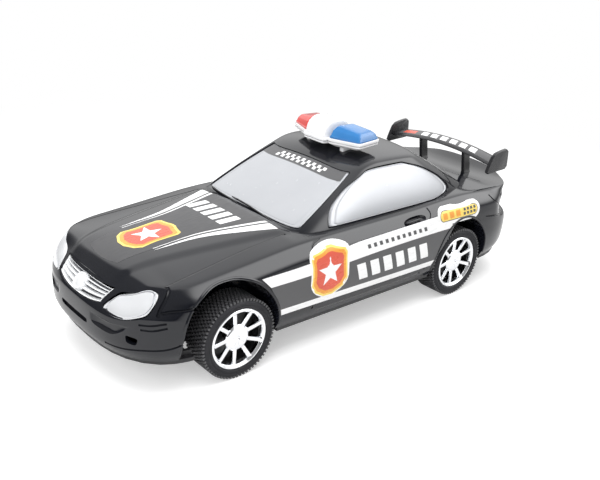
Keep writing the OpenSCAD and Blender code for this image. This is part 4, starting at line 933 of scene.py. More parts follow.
# %% Panels
def panel(skin, depth_of, power, rings=44, around=320):
    """Panel in its opening: its front is under the skin by depth_of(edge, a, b), its back by 2.4 mm."""
    a, b, edge = disc(power, rings, around, lambda r: np.sin(r * np.pi / 2))
    front, behind = skin(a, b, 0.0, depth_of(edge, a, b)), skin(a, b, 0.0, np.full_like(a, 2.4))
    return loft(np.concatenate([front, behind[::-1]]), caps=False)


def glass_depth(edge, a, b):
    """A sunk pane with a fine line near its rim, rolled down at the edge."""
    return SINK + 0.7 * edge**60 + 0.3 * np.exp(-((edge - 0.93) / 0.012) ** 2)


def lamp_depth(edge, a, b):
    """A domed lens inside a raised bead, rolled down at the edge."""
    dome = -1.15 * np.clip(1 - a**2, 0, 1) * np.clip(1 - b**2, 0, 1)
    bead = -0.45 * np.exp(-((edge - 0.93) / 0.04) ** 2)
    groove = 0.95 * np.exp(-((edge - 0.82) / 0.024) ** 2)
    return 0.55 + dome + bead + groove + 0.8 * edge**60


PANEL_OF = {"windscreen": "windscreen", "rear_window": "rear_window", "left_window": "side_window",
            "right_window": "side_window", "left_headlight": "headlight", "right_headlight": "headlight"}
for name, skin in PANEL_OF.items():
    lamp = skin == "headlight"
    part = panel(PANELS[skin], lamp_depth if lamp else glass_depth, ROUNDING[skin])
    part = mirrored(part) if name.startswith("right") else part
    dress(solid(name + "_moulding", part), lamp_silver if lamp else window_silver, "car_body",
          [name])

# %% [markdown]
# ## Grille
# The grille is a plated moulding: a rim and three slats before a back that is painted darker as painted
# shade, with a blank round boss in the middle. Bars could be swept along curves, but here each is a strip of
# the nose's skin, bowed across.

# %% Grille
SLATS, SLAT_HALF, RIM_B, RIM_A, GRILLE_BACK = (-0.47, 0.0, 0.47), 0.115, 0.16, 0.075, 2.2


def grille_bar(b0, b1, a0, a1, rows=14, cols=90):
    """Rounded bar on the grille between two heights and two widths: its front bows like half a circle."""
    b, a = np.meshgrid(np.linspace(b0, b1, rows), np.linspace(a0, a1, cols), indexing="ij")
    v, w = 2 * (b - b0) / (b1 - b0) - 1, 2 * (a - a0) / (a1 - a0) - 1
    bow = np.sqrt(np.clip(1 - v**2, 0, 1)) if b1 - b0 < a1 - a0 else np.sqrt(np.clip(1 - w**2, 0, 1))
    front = grille_skin(a, b, 0.0, GRILLE_BACK - (GRILLE_BACK - 0.2) * bow**0.7)
    return plate(front, grille_skin(a, b, 0.0, np.full_like(a, GRILLE_BACK + 0.3)))


a, b = grid(40, 90)
front, behind = (grille_skin(a, b, 0.0, np.full_like(a, depth)) for depth in (GRILLE_BACK, 3.0))
# the back's darker plating is painted shade between the slats
dress(solid("grille_back", plate(front, behind)), plated_painted_shade, "car_body")
bars = [grille_bar(v - SLAT_HALF, v + SLAT_HALF, -0.97, 0.97) for v in SLATS]
bars += [grille_bar(-1, -1 + RIM_B, -1, 1), grille_bar(1 - RIM_B, 1, -1, 1)]
bars += [grille_bar(-1, 1, -1, -1 + RIM_A, 60, 12), grille_bar(-1, 1, 1 - RIM_A, 1, 60, 12)]
middle, above = (grille_skin(np.zeros(1), np.full(1, v), 0.0, np.zeros(1))[0] for v in (0.0, 0.2))
lie = (above - middle) / np.linalg.norm(above - middle)
forward = np.array([lie[2], 0, -lie[0]])
BOSS = [[0, -2.0], [4.3, -2.0], [4.3, 0.5], [4.1, 0.8], [3.7, 0.85], [3.4, 0.4], [3.1, 0.35], [2.6, 0.5],
        [1.4, 0.7], [0, 0.75]]
turn = np.linspace(0, 2 * np.pi, 64, endpoint=False)
spin = np.cos(turn)[:, None] * lie + np.sin(turn)[:, None] * np.array([0, 1.0, 0])
bars.append(loft([middle - 0.3 * lie + r * spin + h * forward for r, h in BOSS], caps=False))
dress(solid("grille_moulding", together(*bars)), plated_soft, "car_body", ["grille"],
      smooth=40)

# %% [markdown]
# ## Label tools
# The toy's livery is printed on paper labels. A material could paint them by coordinates, but each print
# here is a very thin plate laid on the skin, so its edge is sharp and catches light as paper does. Prints
# that lie on others are lifted a little more.

# %% Label tools
def stick(name, surface, first, second, lift, material):
    """Thin plate on a skin: parameter grids first and second, lifted by lift millimetres."""
    front, behind = surface(first, second, -lift), surface(first, second, -lift + 0.05)
    return dress(solid(name, plate(front, behind)), material, "car_body")


def patch(corners, power=40, rings=10, around=72):
    """Parameters of a rounded patch between four corners, as rings about its middle."""
    a, b, _ = disc(power, rings, around)
    return between(corners, a, b)


def sheet_of(surface, place, lift):
    """Closed thin sheet over a set of rings."""
    return loft(np.concatenate([surface(*place, -lift), surface(*place, -lift + 0.05)[::-1]]), caps=False)


def prints(name, surface, places, lift, material):
    """One label piece from several patches of a skin, all lifted alike."""
    sheets = together(*(sheet_of(surface, place, lift) for place in places))
    return dress(solid(name, sheets), material, "car_body")


def tick(corners):
    """Parameters of a small patch, which needs few faces."""
    return patch(corners, rings=3, around=24)


def band(low, high, count=120, rows=12):
    """Parameters of a band between two smooth lines, each given by a few x, z pairs."""
    share = np.linspace(0, 1, count)
    x0 = np.array(low, float)[[0, -1], 0]
    x1 = np.array(high, float)[[0, -1], 0]
    xl, xh = x0[0] + (x0[1] - x0[0]) * share, x1[0] + (x1[1] - x1[0]) * share
    s = np.linspace(0, 1, rows)[:, None]
    return xl + (xh - xl) * s, through(low, xl) + (through(high, xh) - through(low, xl)) * s


def outline_patch(points, rings=8, smooth=3):
    """Parameters of a patch with a drawn outline: corners are cut smooth, and rings shrink to its middle."""
    line = np.asarray(points, float)
    for _ in range(smooth):
        ahead = np.roll(line, -1, 0)
        line = np.stack([0.75 * line + 0.25 * ahead, 0.25 * line + 0.75 * ahead], 1).reshape(-1, 2)
    middle = line.mean(0)
    grown = middle + np.linspace(0, 1, rings + 1)[:, None, None] * (line - middle)
    return grown[..., 0], grown[..., 1]


def right_flank(x, z, inward=0.0):
    """The right side: the left one with y turned round."""
    return flank(x, z, inward) * [1, -1, 1]


print("right door at the labels", right_flank(0, 40).round(1))

# %% [markdown]
# ## Outlines of the side labels
# A white band, a grey band and a thin white band run along each door, with a shield across them and a
# capsule over the rear wheel. Bands are drawn by a lower and an upper line, and the shield by a few corners
# that are then cut smooth.

# %% Side label outlines
BAND_TOP = [[-60, 55.6], [-40, 55.2], [-8, 54.6], [14, 54.0], [42, 50.8], [72.6, 50.0]]
BAND_SPLIT = [[-66, 46.6], [-40, 46.6], [-8, 46.2], [16, 45.4], [42, 44.6], [67.6, 44.6]]
BAND_LOW = [[-52, 29.4], [-24, 29.7], [16, 30.4], [62, 31.2]]
BAND_FOOT = [[-50, 26.2], [-24, 26.4], [16, 27.0], [61, 27.8]]
SHIELD = np.array([[31.3, 29.2], [42.6, 35.8], [41.2, 46], [42.4, 54.0], [36, 54.8], [29.5, 57.4],
                   [23.5, 55.0], [17.7, 53.4], [18.5, 46], [17.7, 34.8]])
HALO = np.array([[31.4, 28.5], [43.3, 35.4], [42.2, 46], [44.0, 55.0], [37.5, 58.0], [29.5, 59.2],
                 [22.5, 58.2], [16.0, 55.0], [17.0, 46], [17.0, 34.4]])
MIDDLE_OF_SHIELD = np.array([30.0, 44.0])
CAPSULE_ENDS, CAPSULE_R = ((-57.4, 54.4), (-84.2, 54.0)), 3.2


def capsule(ends, radius):
    """Outline with round ends: half a circle about each end."""
    angle = np.radians(np.linspace(-90, 90, 24))
    (x0, z0), (x1, z1) = ends
    return np.concatenate([np.column_stack([x0 + radius * np.cos(angle), z0 + radius * np.sin(angle)]),
                           np.column_stack([x1 - radius * np.cos(angle), z1 - radius * np.sin(angle)])])


def star(middle, size, turn=0.0, points=5):
    """Outline of a star: points out and in by turns about its middle."""
    angle = np.radians(90 + turn + np.arange(2 * points) * 180 / points)
    reach = np.where(np.arange(2 * points) % 2 == 0, size, 0.42 * size)
    return np.column_stack([middle[0] + reach * np.cos(angle), middle[1] + reach * np.sin(angle)])


def slanted_bars(start, pitch, width, lean, low, high, count):
    """Corners of a row of slanted bars along x, a pitch apart, between two heights."""
    x = start - pitch * np.arange(count)
    across = np.stack([x, x - width, x - width - lean, x - lean], -1)
    return np.stack([across, np.broadcast_to([low, low, high, high], across.shape)], -1)


print("shield", np.ptp(SHIELD, 0).round(1), "mm wide and high")

# %% [markdown]
# ## Side labels
# The wide grey band carries a row of slanted white bars, the white band a row of small grey ticks, and the
# shield a star. They could be one image texture, but as plates they stay sharp however near the camera
# comes. Both sides use the same outlines, each on its own skin.

# %% Side labels
SHIELD_PRINTS = (("halo", HALO, 1.0, 0.11, print_white), ("border", SHIELD, 1.0, 0.15, print_yellow),
                 ("edge", SHIELD, 0.91, 0.19, print_orange), ("field", SHIELD, 0.77, 0.23, print_red))
CAPSULE_PRINTS = (("halo", 2.1, 0.11, print_white), ("line", 0.0, 0.15, print_grey),
                  ("field", -0.45, 0.19, print_yellow))
for side, skin in (("left", flank), ("right", right_flank)):
    stick(side + "_label_upper", skin, *band(BAND_SPLIT, BAND_TOP), 0.07, print_white)
    stick(side + "_label_middle", skin, *band(BAND_LOW, BAND_SPLIT), 0.07, print_grey)
    stick(side + "_label_lower", skin, *band(BAND_FOOT, BAND_LOW), 0.07, print_white)
    for name, line, scale, lift, ink in SHIELD_PRINTS:
        line = MIDDLE_OF_SHIELD + (line - MIDDLE_OF_SHIELD) * scale
        place = outline_patch(line, smooth=2 if name == "halo" else 1)
        prints(f"{side}_shield_{name}", skin, [place], lift, ink)
    prints(side + "_shield_star", skin, [outline_patch(star([30.0, 43.6], 8.0), smooth=0)], 0.27, print_white)
    bars = slanted_bars(9.0, 9.6, 6.2, -2.4, 33.4, 42.4, 6)
    prints(side + "_label_bars", skin, map(patch, bars), 0.10, print_white)
    ticks = slanted_bars(3.0, 4.4, 2.2, -0.7, 49.3, 51.6, 11)
    prints(side + "_label_ticks", skin, map(tick, ticks), 0.10, print_grey)
    for name, grow, lift, ink in CAPSULE_PRINTS:
        line = capsule(CAPSULE_ENDS, CAPSULE_R + grow)
        prints(f"{side}_capsule_{name}", skin, [outline_patch(line, smooth=0)], lift, ink)
    marks = slanted_bars(-57.0, 5.6, 3.6, -0.6, 52.4, 56.0, 3)
    prints(side + "_capsule_marks", skin, map(tick, marks), 0.23, print_orange)
    ticks = np.concatenate([slanted_bars(-74.6, 3.0, 1.9, -0.3, h, h + 1.6, 4) for h in (52.2, 54.6)])
    prints(side + "_capsule_ticks", skin, map(tick, ticks), 0.23, print_grey)

# %% [markdown]
# ## Bonnet labels
# A dark label covers the raised panel of the bonnet, with two white stripes that narrow towards the nose, a
# shield and a row of bars. They are drawn in x and y and laid on the deck.

# %% Bonnet labels
BONNET_HALF = [[46.5, 33.0], [65, 24.8], [84, 18.4], [107, 15.6], [127.5, 13.6]]
STRIPE_OUT = [[46.5, 34.4], [65, 26.7], [84, 19.9], [107.4, 17.05]]
STRIPE_IN = [[46.5, 27.4], [65, 22.0], [84, 17.6], [107.4, 16.9]]
x = np.linspace(46.5, 127.5, 90)
s = np.linspace(-1, 1, 40)[:, None]
tip = 2.2 * (s**2) * ease(110, 127, x)
stick("bonnet_label", deck, np.broadcast_to(x, (40, 90)) - tip, s * through(BONNET_HALF, x), 0.06,
      print_black)
x = np.linspace(46.8, 107.4, 80)
s = np.linspace(0, 1, 8)[:, None]
for hand, side in (("right", -1), ("left", 1)):
    inner, outer = through(STRIPE_IN, x), through(STRIPE_OUT, x)
    wide = inner + (outer - inner) * s
    thin = inner - 1.5 - 2.0 * s * np.interp(x, [46, 95], [1, 0.2])
    stick("bonnet_stripe_" + hand, deck, np.broadcast_to(x, (8, 80)), side * wide, 0.10, print_white)
    stick("bonnet_line_" + hand, deck, np.broadcast_to(x, (8, 80)), side * thin, 0.10, print_white)
BONNET_SHIELD = np.array([[117.6, 0], [112.6, 11.3], [104, 10.0], [96, 10.4], [88.4, 10.6], [87.6, 5.2],
                          [85.8, 0], [87.6, -5.2], [88.4, -10.6], [96, -10.4], [104, -10.0],
                          [112.6, -11.3]])
for name, scale, lift, ink in (("border", 1.0, 0.11, print_yellow), ("edge", 0.91, 0.15, print_orange),
                               ("field", 0.77, 0.19, print_red)):
    line = [102.0, 0] + (BONNET_SHIELD - [102.0, 0]) * scale
    prints("bonnet_shield_" + name, deck, [outline_patch(line, smooth=1)], lift, ink)
bonnet_star = outline_patch(star([101.6, 0.0], 8.0, turn=90), smooth=0)
prints("bonnet_shield_star", deck, [bonnet_star], 0.23, print_white)
bars = [[[56, y], [56, y + 4.6], [68, y + 3.4], [68, y - 1.2]] for y in (-17.5, -10.5, -3.5, 3.5, 10.5)]
prints("bonnet_label_bars", deck, map(patch, bars), 0.10, print_white)

# %% [markdown]
# ## Windscreen label
# A grey strip along the top of the windscreen carries two rows of white chequers. It lies on the pane,
# which is the cabin's skin sunk by the pane's depth.

# %% Windscreen label
def screen_face(phi, t, inward=0.0):
    """Face of the pane: the cabin's skin, sunk a little further in."""
    return cabin(phi, t, inward + SINK)


t, phi = np.meshgrid(np.linspace(0.795, 0.93, 10), np.linspace(-43.2, 43.2, 90), indexing="ij")
stick("windscreen_label", screen_face, phi, t, 0.06, print_grey)
row, column = [v.ravel() for v in np.meshgrid([0, 1], np.arange(9), indexing="ij")]
left, low = -27 + 6.0 * column + 3.0 * row, 0.822 + 0.04 * row
blocks = np.stack([np.stack([left, left + 3.0, left + 3.0, left], -1),
                   np.stack([low, low, low + 0.04, low + 0.04], -1)], -1)
prints("windscreen_chequers", screen_face, map(tick, blocks), 0.09, print_white)

# %% [markdown]
# ## Wipers
# Two thin wiper arms are moulded along the foot of the windscreen. Each is a round bar along a path on the
# pane that tapers at both ends.

# %% Wipers
WIPERS = ([[-16, 0.10], [2, 0.085], [27, 0.04]], [[-38, 0.085], [-22, 0.07], [-8, 0.055]])
WIPER_R = np.interp(np.linspace(0, 1, 40), [0, 0.1, 0.9, 1], [0.25, 0.5, 0.5, 0.25])
arms = [tube(cabin(*along(line, 40), SINK - 0.25), WIPER_R, facing=(1, 0, 1)) for line in WIPERS]
dress(solid("wipers", together(*arms)), black_satin, "car_body")

# %% [markdown]
# ## Light bar
# A white tray on two feet carries a white middle cover, a red lens on the car's right and a blue lens on
# its left. They could be bevelled boxes, but each is a stack of rounded outlines that shrink as they rise,
# like a pillow with a flattened top, and the lenses fall away towards their outer ends.

# %% Light bar tools
BAR_X, BAR_Z, TRAY_H, LENS_H, COVER_H = -4.0, 91.2, 5.0, 7.4, 9.4
COVER_HALF, BAR_HALF, BAR_DEPTH, SWEEP, TAPER, PART_GAP = 8.0, 28.0, 20.0, 7.0, 3.0, 0.5


def wing_corners(side):
    """Four corners of one half of the bar, swept back to its end."""
    inner, end = COVER_HALF + PART_GAP, BAR_HALF
    return np.array([[BAR_X - 1.5, side * inner], [BAR_X - 1.5 - SWEEP, side * end],
                     [BAR_X - BAR_DEPTH - SWEEP, side * (end - TAPER)],
                     [BAR_X - BAR_DEPTH - 1, side * inner]])


def pillow(corners, profile, power=7, around=96):
    """Rounded outline between four corners, carried up through triples: inset in x, in y, and height."""
    a, b, _ = disc(power, 1, around)
    middle = np.mean(corners, 0)
    line = np.stack(between(corners, a[1], b[1]), -1)
    away = line - middle
    half = np.abs(away).max(0)
    rings = []
    for dx, dy, z in profile:
        ring = middle + away * np.clip(1 - np.array([dx, dy]) / half, 0, None)
        rings.append(np.column_stack([ring, np.full(around, z)]))
    return loft(rings)


def lifted(profile, base):
    """The same profile on a base height."""
    return [(dx, dy, base + h) for dx, dy, h in profile]


print("light bar", 2 * BAR_HALF, "mm wide")

# %% [markdown]
# ## Lenses, cover and tray
# Their profiles tell them apart: a lens has a small step above its foot and a rounded top, the cover is
# fuller and higher, and the tray has a groove all round. The tray is joined from three outlines and two
# feet.

# %% Light bar pieces
TOP, LENS_FALL = BAR_Z + TRAY_H, 0.42
LENS = [(0.9, 0.8, 0), (0.7, 0.6, 0.4), (0.7, 0.6, 1.2), (1.1, 0.9, 1.3), (1.3, 1.0, 1.6), (2.4, 1.5, 4.4),
        (2.7, 1.7, 4.75), (4.6, 2.5, 6.5), (5.2, 2.9, 6.95), (6.0, 3.6, 7.25), (7.0, 4.5, LENS_H)]
COVER = [(0.2, 0.3, 0), (0, 0, 0.4), (0.1, 0, 2.0), (0.8, 0.05, 4.4), (2.0, 0.2, 6.3), (3.6, 0.5, 7.8),
         (5.4, 0.9, 8.7), (7.0, 1.5, 9.2), (8.6, 2.4, COVER_H)]
TRAY = [(3.4, 3.4, 0.6), (3.0, 3.0, 0.6), (0.45, 0.45, 2.0), (0.3, 0.3, 2.2), (0.3, 0.3, 2.9),
        (1.3, 1.3, 2.95), (1.3, 1.3, 3.5), (0, 0, 3.55), (0, 0, 4.7), (0.25, 0.25, TRAY_H),
        (0.9, 0.9, TRAY_H)]
for name, side, material in (("red_lens", -1, red_lamp), ("blue_lens", 1, blue_lamp)):
    points, faces = pillow(wing_corners(side), LENS, power=12)
    out = np.clip((np.abs(points[:, 1]) - COVER_HALF) / (BAR_HALF - COVER_HALF), 0, 1)
    points[:, 2] = TOP + points[:, 2] * (1 - LENS_FALL * out)
    dress(solid(name + "_moulding", (points, faces)), material, "car_body", [name], smooth=24)
cover_x, cover_y = BAR_X - np.array([0, 0, BAR_DEPTH, BAR_DEPTH]), COVER_HALF * np.array([-1, 1, 1, -1])
cover_corners = np.column_stack([cover_x, cover_y])
cover = solid("lightbar_cover_moulding", pillow(cover_corners, lifted(COVER, TOP), power=12))
dress(cover, bar_white, "car_body", ["lightbar_cover"], smooth=30)
tray = solid("lightbar_tray_moulding", pillow(wing_corners(1), lifted(TRAY, BAR_Z), power=12))
combine(tray, pillow(wing_corners(-1), lifted(TRAY, BAR_Z), power=12), "UNION")
wide_corners = cover_corners + [[1, -1], [1, 1], [-1, 1], [-1, -1]]
combine(tray, pillow(wide_corners, lifted(TRAY, BAR_Z), power=12), "UNION")
for side in (-1, 1):
    foot = np.column_stack([BAR_X - np.array([8, 8, 17, 17]), side * 14 + np.array([-1.5, 1.5, 1.5, -1.5])])
    combine(tray, pillow(foot, [(0, 0, ROOF_Z - 5), (0, 0, BAR_Z + 1)], power=8, around=32), "UNION")
dress(tray, bar_white, "car_body", ["lightbar_tray"], smooth=18)

# %% [markdown]
# ## Rear wing
# The wing blade is a thin aerofoil whose ends droop towards two end plates, and two posts carry it from the
# boot. It could be a bent box, but a real blade is fuller near its leading edge, so its section is a sine
# bump that is pushed forward. The end plates are flat outlines with rolled edges.

# %% Wing blade and end plates
WING_X, WING_Z, CHORD, RISE, CROWN, WING_T, WING_HALF = -114.0, 75.2, 10.0, 2.8, 4.5, 2.0, 42.0


def blade(y, c, lift):
    """Blade at span y and chord share c: droop with the square of y, and half the thickness up or down."""
    thick = WING_T * (0.12 + 0.88 * np.sin(np.pi * np.clip(c, 0, 1) ** 0.7))
    z = WING_Z + c * RISE - CROWN * (y / WING_HALF) ** 2 + lift * thick
    return np.stack([WING_X - c * CHORD, y, z], -1)


chord = (1 - np.cos(np.linspace(0, np.pi, 28))) / 2
y, c = np.meshgrid(np.linspace(-WING_HALF, WING_HALF, 90), chord, indexing="ij")
wing = solid("rear_wing_moulding", plate(blade(y, c, 0.5), blade(y, c, -0.5)))
END_PLATE = [[-114.2, 79.0], [-121, 80.4], [-128.2, 81.0], [-128.9, 74], [-128.9, 67.9], [-122, 67.6],
             [-116, 67.4], [-108.8, 67.0], [-110.6, 72.0]]


def slab(points, y0, thick, smooth=2, edge=0.35):
    """Flat plate with rolled edges: an x, z outline, cut smooth, with its two faces a little smaller."""
    px, pz = outline_patch(points, rings=1, smooth=smooth)
    middle = np.array([px[0, 0], pz[0, 0]])
    line = np.column_stack([px[1], pz[1]]) - middle
    size = np.abs(line).max()
    steps = [(-0.5 * thick, edge), (-0.5 * thick + edge * 0.4, edge * 0.3), (-0.5 * thick + edge, 0),
             (0.5 * thick - edge, 0), (0.5 * thick - edge * 0.4, edge * 0.3), (0.5 * thick, edge)]
    rings = []
    for dy, inset in steps:
        flat = middle + line * (1 - inset / size)
        rings.append(np.column_stack([flat[:, 0], np.full(len(line), y0 + dy), flat[:, 1]]))
    return loft(rings)


for side in (-1, 1):
    combine(wing, slab(END_PLATE, side * WING_HALF, 2.2, smooth=1), "UNION")
dress(wing, black_satin, "car_body", ["rear_wing"], smooth=35)

# %% [markdown]
# ## Wing posts
# Each post is a slim upright that leans forward as it rises and spreads where it meets the boot. It is a
# stack of rounded outlines whose place and width are functions of the height.

# %% Wing posts
POST_X, POST_Y, POST_LEAN, POST_Z = -121.0, 18.0, 2.5, (55.0, 74.2)


def post(side):
    """Post: rounded outlines up to the blade, moved forward with the height, and cut sloping at the top."""
    z = POST_Z[0] + (POST_Z[1] - POST_Z[0]) * np.linspace(0, 1, 24)[:, None]
    ring_x, ring_y = disc(5, 1, 48)[0][1] * 3.4, disc(5, 1, 48)[1][1] * 1.1
    flare = 1 + 0.5 * np.exp(-((z - 59.6) / 0.9) ** 2)
    x = POST_X + POST_LEAN * np.interp(z, [59.8, POST_Z[1]], [0, 1]) + ring_x
    return loft(np.stack([x, side * POST_Y + ring_y * flare, z + 0.28 * np.where(z > 74, -ring_x, 0)], -1))


for hand, side in (("left", 1), ("right", -1)):
    upright = solid(hand + "_wing_post_moulding", post(side))
    dress(upright, black_satin, "car_body", [hand + "_wing_post"])

# %% [markdown]
# ## Wing label
# The blade's upper face carries a grey strip with one red patch and a row of white bars. They lie on the
# blade by its own span and chord, so they follow its droop.

# %% Wing label
def blade_top(y, c, inward=0.0):
    """Upper face of the blade, moved down by inward."""
    return blade(y, c, 0.5) - [0, 0, inward]


y, c = np.meshgrid(np.linspace(-38, 38, 80), np.linspace(0.2, 0.86, 10), indexing="ij")
stick("wing_label", blade_top, y, c, 0.06, print_grey)
bars = [[[v, 0.27], [v + 5.4, 0.27], [v + 3.6, 0.80], [v - 1.8, 0.80]] for v in (-19, -11, -3, 5, 13, 21)]
prints("wing_label_bars", blade_top, [patch(c, rings=3, around=40) for c in bars], 0.09, print_white)
corner = [[-35, 0.3], [-24.5, 0.3], [-25.5, 0.76], [-35, 0.76]]
prints("wing_label_patch", blade_top, [patch(corner, rings=3, around=40)], 0.09, print_red)

# %% [markdown]
# ## Tyres
# A tyre is a ring turned about its axle, with rows of small blocks on its tread. An Array modifier could
# repeat a block, but all the blocks are one array here: each has eight corners, with its own row and angle.
# The ring and the tread are two pieces, because the tread blocks are painted paler as a painted highlight.

# %% Tyres
TYRE_IN, TYRE_OUT, TREAD_R, FACE = 39.0, 55.0, 19.8, 54.5
BLOCKS, ROWS, SHOULDER, ROW_GAP = 66, 8, 0.55, 0.7
TYRE_LINE = [(15.5, 39.8), (15.7, 39.3), (16.4, 39.0), (18.4, 39.0), (19.0, 39.2), (19.5, 39.5),
             (19.8, 39.9), (19.8, 54.1), (19.5, 54.5), (19.0, 54.8), (18.5, 55.0), (18.2, 55.0),
             (17.9, 54.8), (17.5, 54.75), (17.3, 54.95), (16.9, 55.0), (16.3, 54.8), (15.98, 54.3),
             (15.98, 51.5), (15.5, 51.5)]
BLOCK = np.array([[1, 0.02, 0], [1, 0.62, 0], [1, 0.62, 1], [1, 0.02, 1], [0, 0.07, 0], [0, 0.57, 0],
                  [0, 0.57, 1], [0, 0.07, 1]])
BLOCK_FACES = np.array([[0, 1, 2, 3], [4, 7, 6, 5], [0, 4, 5, 1], [1, 5, 6, 2], [2, 6, 7, 3], [3, 7, 4, 0]])


def turned(line, axle_x, side, steps=144):
    """Ring turned about the axle: a closed line of radius and distance from the car's middle."""
    r, w = np.array(line, float).T
    angle = np.linspace(0, 2 * np.pi, steps, endpoint=False)[:, None]
    across = np.broadcast_to(side * w, (steps, len(r)))
    points = np.stack([axle_x + r * np.cos(angle), across, AXLE_Z + r * np.sin(angle)], -1)
    return points.reshape(-1, 3), cells(steps, len(r), True, True).tolist()


def tread(axle_x, side):
    """Blocks round a tyre: each corner is low or high, at a share of the pitch and of its row's width."""
    row, block = [v.reshape(-1, 1) for v in np.meshgrid(np.arange(ROWS), np.arange(BLOCKS), indexing="ij")]
    low, share, far = BLOCK.T
    width = (TYRE_OUT - TYRE_IN - 2 * SHOULDER) / ROWS
    angle = 2 * np.pi / BLOCKS * (block + share + row % 2 * 0.5)
    r = np.where(low, TREAD_R - 0.4, TYRE_R)
    across = TYRE_IN + SHOULDER + row * width + ROW_GAP / 2 + far * (width - ROW_GAP)
    points = np.stack([axle_x + r * np.cos(angle), side * across, AXLE_Z + r * np.sin(angle)], -1)
    faces = np.arange(len(row))[:, None, None] * len(BLOCK) + BLOCK_FACES
    return points.reshape(-1, 3), faces.reshape(-1, 4).tolist()


WHEELS = [("front", "left", 1), ("front", "right", -1), ("rear", "left", 1), ("rear", "right", -1)]
for end, hand, side in WHEELS:
    axle_x = AXLE_X[0 if end == "front" else 1]
    tyre = solid(f"{end}_{hand}_tyre_ring", turned(TYRE_LINE, axle_x, side))
    dress(tyre, rubber, end + "_wheelset", [f"{end}_{hand}_tyre"], smooth=30)
    blocks = solid(f"{end}_{hand}_tyre_tread", tread(axle_x, side))
    # the blocks' paler rubber is a painted highlight on the tread
    dress(blocks, rubber_painted_highlight, end + "_wheelset")

# %% [markdown]
# ## Hubcaps
# A hubcap is a plated disc with slots between nine spokes. The slots could be cut by Booleans, but then the
# spokes' edges would be ragged. Here the cap is one grid in radius and angle whose columns follow the
# spokes' edges, so a slot is just cells that are left out, and its walls are closed from front to back.

# %% Hubcap sizes
SPOKES, SPOKE_HALF, SLOT_IN, SLOT_OUT = 9, 1.1, 6.8, 13.7
CAP_R = np.array([0.0, 0.5, 0.85, 1.25, 3.0, 5.0, 5.7, 6.1, 6.45, SLOT_IN, 7.1, 8.2, 9.3, 10.4, 11.5, 12.6,
                  13.45, SLOT_OUT, 14.05, 14.65, 15.15, 15.55, 15.8, 15.93])
CAP_H = [[0, -2.0], [0.85, -1.95], [1.25, -1.5], [3, -1.45], [5.7, -1.55], [6.1, -1.7], [6.45, -2.1],
         [6.9, -2.15], [10, -1.6], [13.7, -1.0], [14.25, -0.35], [14.65, 0.0], [15.35, 0.0], [15.75, -0.15],
         [15.93, -0.5]]
SPOKE_STEPS, SLOT_STEPS = np.array([0.0, 0.5, 0.82, 1.0]), np.linspace(-1, 1, 9)[1:-1]


def side_walls(keep):
    """Faces from front to back: where a kept cell meets one that is left out, and all round the rim."""
    rows, cols = keep.shape[0] + 1, keep.shape[1]
    number = np.arange(rows * cols).reshape(rows, cols)
    after, back = np.roll(number, -1, 1), rows * cols
    i, j = np.nonzero(keep != np.roll(keep, 1, 1))
    straight = np.stack([number[i, j], number[i + 1, j], number[i + 1, j] + back, number[i, j] + back], -1)
    i, j = np.nonzero(keep[1:] != keep[:-1])
    i, j = np.append(i + 1, np.full(cols, rows - 1)), np.append(j, np.arange(cols))
    curved = np.stack([number[i, j], after[i, j], after[i, j] + back, number[i, j] + back], -1)
    return np.concatenate([straight, curved])


print("cap", 2 * CAP_R[-1], "mm across with", SPOKES, "spokes")

# %% [markdown]
# ## A cap on each wheel
# The cap's front rises from a flat hub, over the spokes, to a rounded rim. Each spoke has a slight crown
# and a bevelled edge, as plated mouldings do. The back uses the same grid, set deeper.

# %% Hubcaps
def hubcap(axle_x, side):
    """Plated cap: columns follow the spoke edges, at the angle asin(half width / radius) for each radius."""
    r, half = CAP_R[:, None], np.pi / SPOKES
    edge = np.arcsin(np.clip(SPOKE_HALF / np.maximum(r, 3.0), 0, 1))
    back_steps = SPOKE_STEPS[:0:-1]
    first, gap, last = edge * SPOKE_STEPS, half + (half - edge) * SLOT_STEPS, 2 * half - edge * back_steps
    sector = np.concatenate([first, gap, last], 1)
    angle = np.concatenate([sector + 2 * half * i for i in range(SPOKES)], 1)
    slot = np.ones(len(SLOT_STEPS))
    crown = np.tile(np.concatenate([1 - SPOKE_STEPS**2, 0 * slot, 1 - back_steps**2]), SPOKES)
    bevel = np.tile(np.concatenate([SPOKE_STEPS == 1, slot == 1, back_steps == 1]), SPOKES)
    inside = (r >= SLOT_IN - 0.01) & (r <= SLOT_OUT + 0.01)
    front = np.interp(CAP_R, *np.array(CAP_H).T)[:, None] + np.where(inside, 0.22 * crown - 0.25 * bevel, 0)
    behind = np.broadcast_to(np.where(r > 13.8, -2.45, -3.4), front.shape)
    layers = [np.stack([axle_x + r * np.cos(angle), side * (FACE + h), AXLE_Z + r * np.sin(angle)], -1)
              for h in (front, behind)]
    solid_part = np.zeros(len(SPOKE_STEPS) - 1, bool)
    in_slot = np.tile(np.concatenate([solid_part, np.ones(len(SLOT_STEPS) + 1, bool), solid_part]), SPOKES)
    keep = ~(inside[:-1] & inside[1:] & in_slot)
    kept = cells(*angle.shape, False, True)[keep.ravel()]
    faces = np.concatenate([kept, kept[:, ::-1] + angle.size, side_walls(keep)])
    return np.concatenate([layer.reshape(-1, 3) for layer in layers]), faces.tolist()


for end, hand, side in WHEELS:
    axle_x = AXLE_X[0 if end == "front" else 1]
    cap = solid(f"{end}_{hand}_hubcap_plated", hubcap(axle_x, side))
    dress(cap, plated, end + "_wheelset", [f"{end}_{hand}_hubcap"], smooth=40)

# %% [markdown]
# ## Inner and underside pieces
# The chassis, axles, wheel cores and the friction drive keep their CAD shapes. They could be made again
# with finer edges, but little of them is seen, so they only get a finish each.

